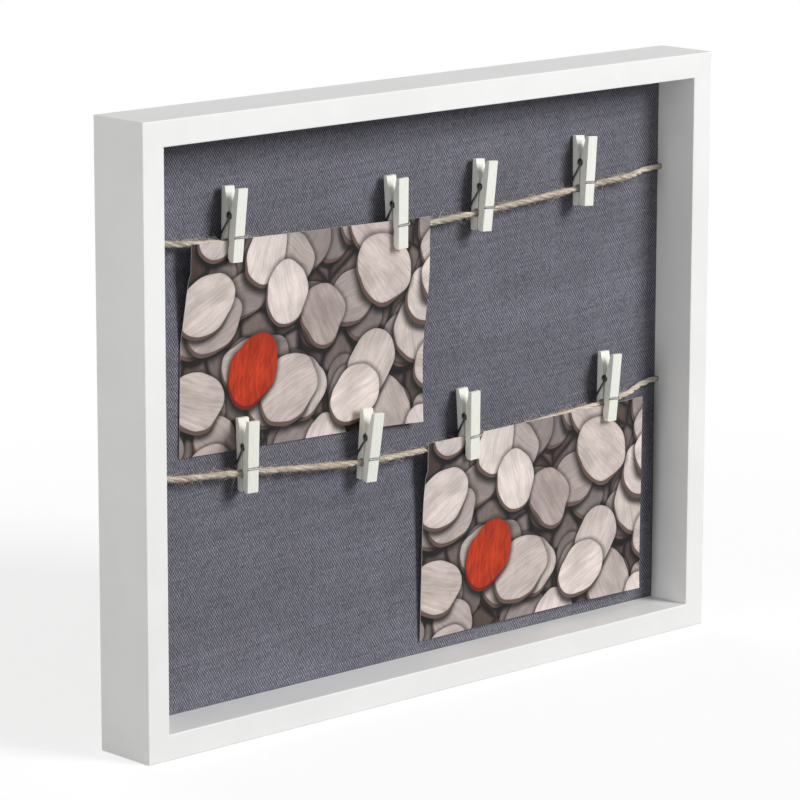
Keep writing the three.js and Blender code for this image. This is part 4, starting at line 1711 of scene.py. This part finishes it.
@dataclass
class Pegs:
    """Small spring pegs of two levers and a coiled wire, which are modelled once and copied."""

    layout: Layout
    stain: bpy.types.Material
    steel: bpy.types.Material
    # The brighter steel on the wire's tails is a painted highlight.
    painted_sheen: bpy.types.Material
    length: float = 0.035
    width: float = 0.0062
    jaw: float = 0.0086
    handle: float = 0.0116
    tip: float = 0.0022
    coil_from_top: float = 0.0133
    groove_from_top: float = 0.0233
    twine_from_top: float = 0.0262
    lead: float = 0.002
    lead_depth: float = 0.0013
    empty_gap: float = 0.0004
    cord_slack: float = 0.0005
    notch_slack: float = 0.001
    groove_slack: float = 0.00026
    groove_rise: float = 0.0002
    wire: float = 0.00092
    coil: float = 0.0026
    whole_turns: int = 3
    wire_bend: float = 0.0009
    edge_radius: float = 0.0003
    edge_steps: int = 2
    notch_sides: int = 96
    coil_steps: int = 26
    bend_steps: int = 6
    wire_steps: int = 3

    @property
    def foot(self) -> float:
        """Return the height of the jaw's tip above the twine."""
        return self.twine_from_top - self.length

    @property
    def coil_height(self) -> float:
        """Return the height of the coil's axis above the twine."""
        return self.twine_from_top - self.coil_from_top

    @property
    def groove_height(self) -> float:
        """Return the height of the wire's grooves above the twine."""
        return self.twine_from_top - self.groove_from_top

    def outer(self, height: float) -> float:
        """Return the distance of a lever's outer face from the middle plane."""
        return (self.jaw + (self.handle - self.jaw) * (height - self.foot) / self.length) / 2

    def lever(self, half: Half, holds: bool) -> Workpiece:
        """Model a lever in the peg's own axes.

        Args:
            half: which lever it is.
            holds: whether there is a print in its jaws.
        Returns:
            The lever.
        """
        layout = self.layout
        top, foot = self.twine_from_top, self.foot
        inner = (layout.paper / 2 + layout.fit) if holds else self.empty_gap / 2
        outside = self.outer(top)
        coil_room = (self.coil + self.wire) / 2 + layout.fit
        mouth = self.coil_height + math.sqrt(coil_room**2 - (inner + layout.fit) ** 2)
        piece = block("lever_pattern", (-self.width / 2, inner, foot), (self.width / 2, outside, top))
        for height in (foot + self.lead, mouth):
            piece.split((0.0, 0.0, height), (0.0, 0.0, 1.0))

        def row(height: float, depth: float) -> Test:
            """Return a test for the vertices of one row."""
            return lambda at, _: abs(at.z - height) < NEAR and abs(at.y - depth) < NEAR

        for height in (foot, foot + self.lead, mouth):
            piece.move(row(height, outside), (0.0, self.outer(height) - outside, 0.0))
        piece.move(row(top, inner), (0.0, outside - self.tip - inner, 0.0))
        piece.move(row(mouth, inner), (0.0, layout.fit, 0.0))
        piece.move(row(foot, inner), (0.0, self.lead_depth, 0.0))
        piece.clean()
        piece.round_edges(lambda middle, direction: True, self.edge_radius, self.edge_steps)
        wide = 2 * self.width
        piece.cut(bar("coil_room", coil_room, wide, (0.0, 0.0, self.coil_height), Axis.X))
        groove = (0.0, self.outer(self.groove_height), self.groove_height + self.groove_rise)
        piece.cut(bar("wire_groove", self.wire / 2 + self.groove_slack, wide, groove, Axis.X))
        room = layout.twine / 2 + self.notch_slack
        if half is Half.REAR:
            deep = layout.twine_behind + layout.twine / 2 + self.cord_slack
            piece.cut(bar("twine_notch", room, wide, (0.0, deep - room, 0.0), Axis.X))
        else:
            deep = layout.twine / 2 - layout.twine_behind + layout.fit + self.cord_slack + layout.paper
            radius = (room**2 + deep**2) / (2 * deep)
            middle = (0.0, inner + deep - radius, 0.0)
            piece.cut(bar("twine_notch", radius, wide, middle, Axis.X, self.notch_sides))
        turn = Matrix.Rotation(half.value[1], 4, "Z")
        piece.place(Matrix.Translation((0.0, -layout.twine_behind, 0.0)) @ turn)
        piece.smooth()
        piece.modify("WEIGHTED_NORMAL", keep_sharp=True)
        return piece

    def wire_points(self) -> list[Vector]:
        """Trace the middle of the wire.

        Returns:
            Its points: the rear groove, an arm, the coil, the other arm and the front groove.
        """
        side = self.width / 2 + self.layout.fit + self.wire / 2
        groove = self.outer(self.groove_height)
        radius = self.coil / 2
        reach = math.hypot(groove, self.coil_height - self.groove_height)
        towards = math.atan2(self.groove_height - self.coil_height, groove)
        start = math.tau + towards - math.acos(radius / reach)
        sweep = math.pi - 2 * start - math.tau * self.whole_turns
        steps = math.ceil(abs(sweep) / math.tau * self.coil_steps)
        coil = []
        for i in range(steps + 1):
            angle = start + sweep * i / steps
            back, up = radius * math.cos(angle), radius * math.sin(angle)
            coil.append(Vector((side * (2 * i / steps - 1), back, self.coil_height + up)))
        tail = Vector((self.width / 2, groove, self.groove_height))
        corner = Vector((-side, groove, self.groove_height))
        ends = [corner + (end - corner).normalized() * self.wire_bend for end in (tail, coil[0])]
        shares = [i / self.bend_steps for i in range(self.bend_steps + 1)]
        bend = [ends[0] * (1 - t) ** 2 + corner * 2 * t * (1 - t) + ends[1] * t * t for t in shares]
        rear = [tail, *bend]
        front = [Vector((-p.x, -p.y, p.z)) for p in reversed(rear)]
        return [p - Vector((0.0, self.layout.twine_behind, 0.0)) for p in [*rear, *coil, *front]]

    def spring(self) -> Workpiece:
        """Wind the wire in the peg's own axes.

        Returns:
            The wire, with its two tails in the second finish: a brighter steel that is a painted highlight.
        """
        curve = bpy.data.curves.new("wire", "CURVE")
        curve.dimensions = "3D"
        curve.bevel_depth = self.wire / 2
        curve.bevel_resolution = self.wire_steps
        curve.use_fill_caps = True
        points = self.wire_points()
        line = curve.splines.new("POLY")
        line.points.add(len(points) - 1)
        for point, place in zip(line.points, points):
            point.co = (*place, 1.0)
        obj = added("wire", curve)
        Workpiece.clear_bench()
        obj.select_set(True)
        bpy.context.view_layer.objects.active = obj
        bpy.ops.object.convert(target="MESH")
        piece = Workpiece.from_object("wire_pattern", bpy.context.object)
        # The tails take the second finish, the brighter steel of the painted highlight.
        for face in piece.obj.data.polygons:
            face.material_index = int(face.center.z < self.groove_height + self.wire)
        piece.smooth(angle=60.0)
        return piece

    def hang(self, place: PegPlace, anchor: float, levers: Levers, spring: Workpiece) -> None:
        """Make a peg from copies of the patterns and put it on its twine.

        Args:
            place: where it hangs.
            anchor: the height of the twine's ends.
            levers: the patterns of its levers.
            spring: the pattern of its wire.
        """
        matrix = place.matrix(self.layout, anchor)
        name, carrier = place.name, place.carrier
        for half in Half:
            label = half.value[0]
            piece = levers[half, place.holds].copy(f"{name}_{label}")
            piece.place(matrix)
            obj = piece.dress("white_wood", self.stain, replaces=[f"{name}_{label}_lever"])
            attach(obj, carrier if half is Half.REAR else name + "_lever")
        wire = spring.copy(name + "_wire")
        wire.place(matrix)
        obj = wire.dress("spring_steel", self.steel, self.painted_sheen, replaces=[name + "_spring"])
        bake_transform(obj)

    def build(self, rows: Sequence[tuple[float, Sequence[PegPlace]]]) -> None:
        """Model the patterns, and hang up the pegs that are made of their copies.

        Args:
            rows: the height of each twine's ends, and the pegs on that twine.
        """
        levers = {(half, holds): self.lever(half, holds) for half in Half for holds in (True, False)}
        spring = self.spring()
        for anchor, places in rows:
            for place in places:
                self.hang(place, anchor, levers, spring)
        for pattern in (*levers.values(), spring):
            pattern.discard()


@dataclass
class Print:
    """A print that hangs straight in its jaws and bends back towards the cloth below them."""

    name: str
    layout: Layout
    anchor: float
    x: float
    drop: float
    roll: float
    foot_gap: float
    curl: float
    curl_width: float
    curl_height: float
    flat: float
    body: str
    picture: bpy.types.Material
    paper: bpy.types.Material
    width: float = 0.152
    height: float = 0.102
    pitch: float = 1.5
    gripped: float = 0.014
    above: float = 0.003
    stiffness: float = 0.45
    foot_slope: float = 0.1
    twist: float = 0.003
    twist_power: float = 0.6
    thickness: float = 0.00028
    columns: int = 24
    rows: int = 51
    bend_steps: int = 40

    def bend(self) -> tuple[np.ndarray, np.ndarray]:
        """Bend the print from its grip to its foot.

        Returns:
            Heights below the upper edge, and how far back the print is there.
        """
        lean = math.tan(math.radians(self.pitch))
        jaw = np.array((lean * (self.gripped - self.above), self.gripped))
        foot = self.layout.standoff - self.foot_gap
        end = np.array((foot, self.height - self.flat))
        stiff = self.stiffness * (end[1] - jaw[1])
        down = np.array((lean, 1.0)) / math.hypot(lean, 1.0)
        pull = np.array((end[0] - (0.0 if self.flat else self.foot_slope * stiff), end[1] - stiff))
        t = np.linspace(0.0, 1.0, self.bend_steps + 1)[:, None]
        held = jaw * (1 - t) ** 3 + 3 * (jaw + down * stiff) * t * (1 - t) ** 2
        free = held + 3 * pull * t * t * (1 - t) + end * t**3
        line = np.vstack([[(-lean * self.above, 0.0)], free, [(foot, self.height)]])
        return line[:, 1], line[:, 0]

    def lean(self, across: float, down: float) -> float:
        """Return how far back a place lies by the curl of the paper.

        Args:
            across: the place from the left edge, as a share of the width.
            down: the place from the grip, as a share of the free height.
        Returns:
            The distance in metres: the left edge lies back at half height, and the right edge curls forward.
        """
        back = self.twist * (1.0 - across) ** 2 * math.sin(math.pi * down**self.twist_power)
        return back - self.curl * across**self.curl_width * down**self.curl_height

    def build(self) -> None:
        """Make the print and hang it up."""
        piece = grid(self.name, self.columns, self.rows)
        heights, depths = self.bend()
        for vertex in piece.obj.data.vertices:
            below = (0.5 - vertex.co.y) * self.height
            down = max(0.0, below - self.gripped) / (self.height - self.gripped)
            depth = float(np.interp(below, heights, depths)) + self.lean(vertex.co.x + 0.5, down)
            depth = min(depth, depths[-1])
            vertex.co = (vertex.co.x * self.width, depth, -below)
        piece.paint(self.picture, self.paper)
        slots = {"material_offset": 1, "material_offset_rim": 1}
        piece.modify("SOLIDIFY", thickness=self.thickness, offset=0.0, **slots)
        place = Matrix.Translation((self.x, self.layout.peg_plane, self.anchor - self.drop))
        piece.place(place @ Matrix.Rotation(math.radians(self.roll), 4, "Y"))
        piece.smooth(angle=40.0)
        node = "print_" + self.name.split("_")[-1]
        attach(piece.dress("photo_paper", replaces=[node]), self.body)


@dataclass(frozen=True)
class Lamp:
    """A soft lamp that points at the middle of the object."""

    name: str
    place: tuple[float, float, float]
    width: float
    height: float
    power: float
    mirrored: bool = True


@dataclass
class Studio:
    """A pale floor, soft lamps, a white surround and the camera."""

    aim: tuple[float, float, float] = (0.0, 0.0, 0.15)
    camera_place: tuple[float, float, float] = (-1.37915, -1.45528, 0.56886)
    camera_turn: tuple[float, float, float] = (78.02, -0.1174, -43.1751)
    lens: float = 188.91
    sensor: float = 36.0
    floor_size: float = 14.0
    floor_colour: Colour = (0.33, 0.33, 0.33)
    floor_glow: float = 0.735
    floor_near: float = 0.32
    floor_far: float = 0.75
    surround: float = 0.14
    lamps: tuple[Lamp, ...] = (
        Lamp("key", (1.8, -3.9, 2.46), 1.7, 2.3, 220.0),
        Lamp("left", (-1.7, -0.25, 0.35), 0.9, 0.9, 11.9, False),
        Lamp("back", (0.5, 2.3, 0.5), 1.8, 0.8, 34.0, False),
    )

    @staticmethod
    def seen(tree: Tree) -> Value:
        """Tell the rays that see the background: straight, mirrored or through glass.

        Args:
            tree: the tree of the floor or of the surround.
        Returns:
            1 for those rays, and 0 for others.
        """
        path = tree.node("ShaderNodeLightPath", output="Is Camera Ray")
        outputs = path.socket.node.outputs
        for name in ("Is Glossy Ray", "Is Transmission Ray"):
            path = path.math("MAXIMUM", Value(tree, outputs[name]))
        return path

    def light(self) -> None:
        """Make the lamps and the surround."""
        for lamp in self.lamps:
            data = bpy.data.lights.new(lamp.name, "AREA")
            data.energy = lamp.power
            data.shape = "RECTANGLE"
            data.size, data.size_y = lamp.width, lamp.height
            obj = added(lamp.name, data)
            obj.location = lamp.place
            obj.rotation_euler = (Vector(self.aim) - obj.location).to_track_quat("-Z", "Y").to_euler()
            obj.visible_camera = False
            obj.visible_glossy = lamp.mirrored
        world = bpy.data.worlds.new("surround")
        bpy.context.scene.world = world
        tree = Tree(world, "ShaderNodeOutputWorld")
        strength = self.seen(tree) * (1.0 - self.surround) + self.surround
        values = {"Color": (1.0, 1.0, 1.0), "Strength": strength}
        tree.feed(tree.output.inputs["Surface"], tree.node("ShaderNodeBackground", None, values))

    def lay_floor(self) -> None:
        """Make the floor, which the camera sees nearly white and which keeps the object's shadow."""
        Workpiece.clear_bench()
        bpy.ops.mesh.primitive_plane_add(size=self.floor_size)
        floor = bpy.context.object
        floor.name = "floor"
        tree = Tree.of_material("floor")
        seen = self.seen(tree)
        matt = tree.node("ShaderNodeBsdfDiffuse", None, {"Color": self.floor_colour})
        glow = tree.node("ShaderNodeEmission", None, {"Strength": seen * self.floor_glow})
        near = tree.node("ShaderNodeAddShader", None, {0: matt, 1: glow})
        white = tree.node("ShaderNodeEmission", None, {"Strength": 1.0})
        away = tree.vector("LENGTH", tree.place(), output="Value")
        share = away.ramp(self.floor_near, self.floor_far) * seen
        values = {0: share, 1: near, 2: white}
        tree.feed(tree.output.inputs["Surface"], tree.node("ShaderNodeMixShader", None, values))
        floor.data.materials.append(tree.owner)
        floor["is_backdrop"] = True

    def set_camera(self) -> None:
        """Put the camera where the photograph was taken from."""
        data = bpy.data.cameras.new("camera")
        data.lens = self.lens
        data.sensor_width = self.sensor
        camera = added("camera", data)
        camera.location = self.camera_place
        camera.rotation_euler = [math.radians(turn) for turn in self.camera_turn]
        bpy.context.scene.camera = camera
        bpy.context.scene.view_settings.view_transform = "Standard"

    def build(self) -> None:
        """Set up the studio."""
        self.set_camera()
        self.lay_floor()
        self.light()


def write_sizes() -> None:
    """Gather the boxes of the solids and of the dressed object; nothing is kept."""
    boxes = {"cad": CAD_BOX, "visual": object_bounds()}
    {name: [list(corner) for corner in box] for name, box in boxes.items()}


def main() -> None:
    """Build the studio and the sub-assemblies in order."""
    logging.basicConfig(level=logging.INFO, format="%(name)s %(message)s")
    layout = Layout()
    Studio().build()
    upper, lower = layout.upper_anchor, layout.lower_anchor
    jute = Jute().material()
    Twine("twine_upper", layout, upper, UPPER_PEGS, jute, hidden=(-0.15, 0.012), seed=5).build()
    Twine("twine_lower", layout, lower, LOWER_PEGS, jute, hidden=(0.001, 0.163), seed=8).build()
    BoxFrame(layout, RailPaint().material()).build()
    Panel(layout, PanelCloth().material()).build()
    zinc = Plating("zinc", (0.52, 0.53, 0.54), (0.4, 0.41, 0.425), smooth=0.38).material()
    Hardware(Hardboard().material(), zinc).dress()
    stain = PegStain().material()
    steel = Plating("spring_steel", (0.11, 0.108, 0.105), (0.08, 0.079, 0.077), smooth=0.2).material()
    # The dark spring steel is the wire's own colour; its brighter copy on the tails is a painted highlight.
    painted_sheen = Plating("painted_sheen_steel", (0.3, 0.296, 0.29), (0.22, 0.217, 0.212), smooth=0.4).material()
    Pegs(layout, stain, steel, painted_sheen).build(((upper, UPPER_PEGS), (lower, LOWER_PEGS)))
    shared = {"layout": layout, "picture": Picture().material(), "paper": PaperBack().material()}
    Print(
        name="picture_left", body="left_print", anchor=upper, x=-0.069, drop=0.0045, roll=1.4,
        foot_gap=0.00075, flat=0.0217, curl=0.0052, curl_width=6.0, curl_height=0.8, **shared,
    ).build()
    Print(
        name="picture_right", body="right_print", anchor=lower, x=0.082, drop=0.0073, roll=-0.7,
        foot_gap=0.0012, flat=0.0, curl=0.0052, curl_width=2.0, curl_height=2.0, **shared,
    ).build()
    write_sizes()


if __name__ == "__main__":
    main()
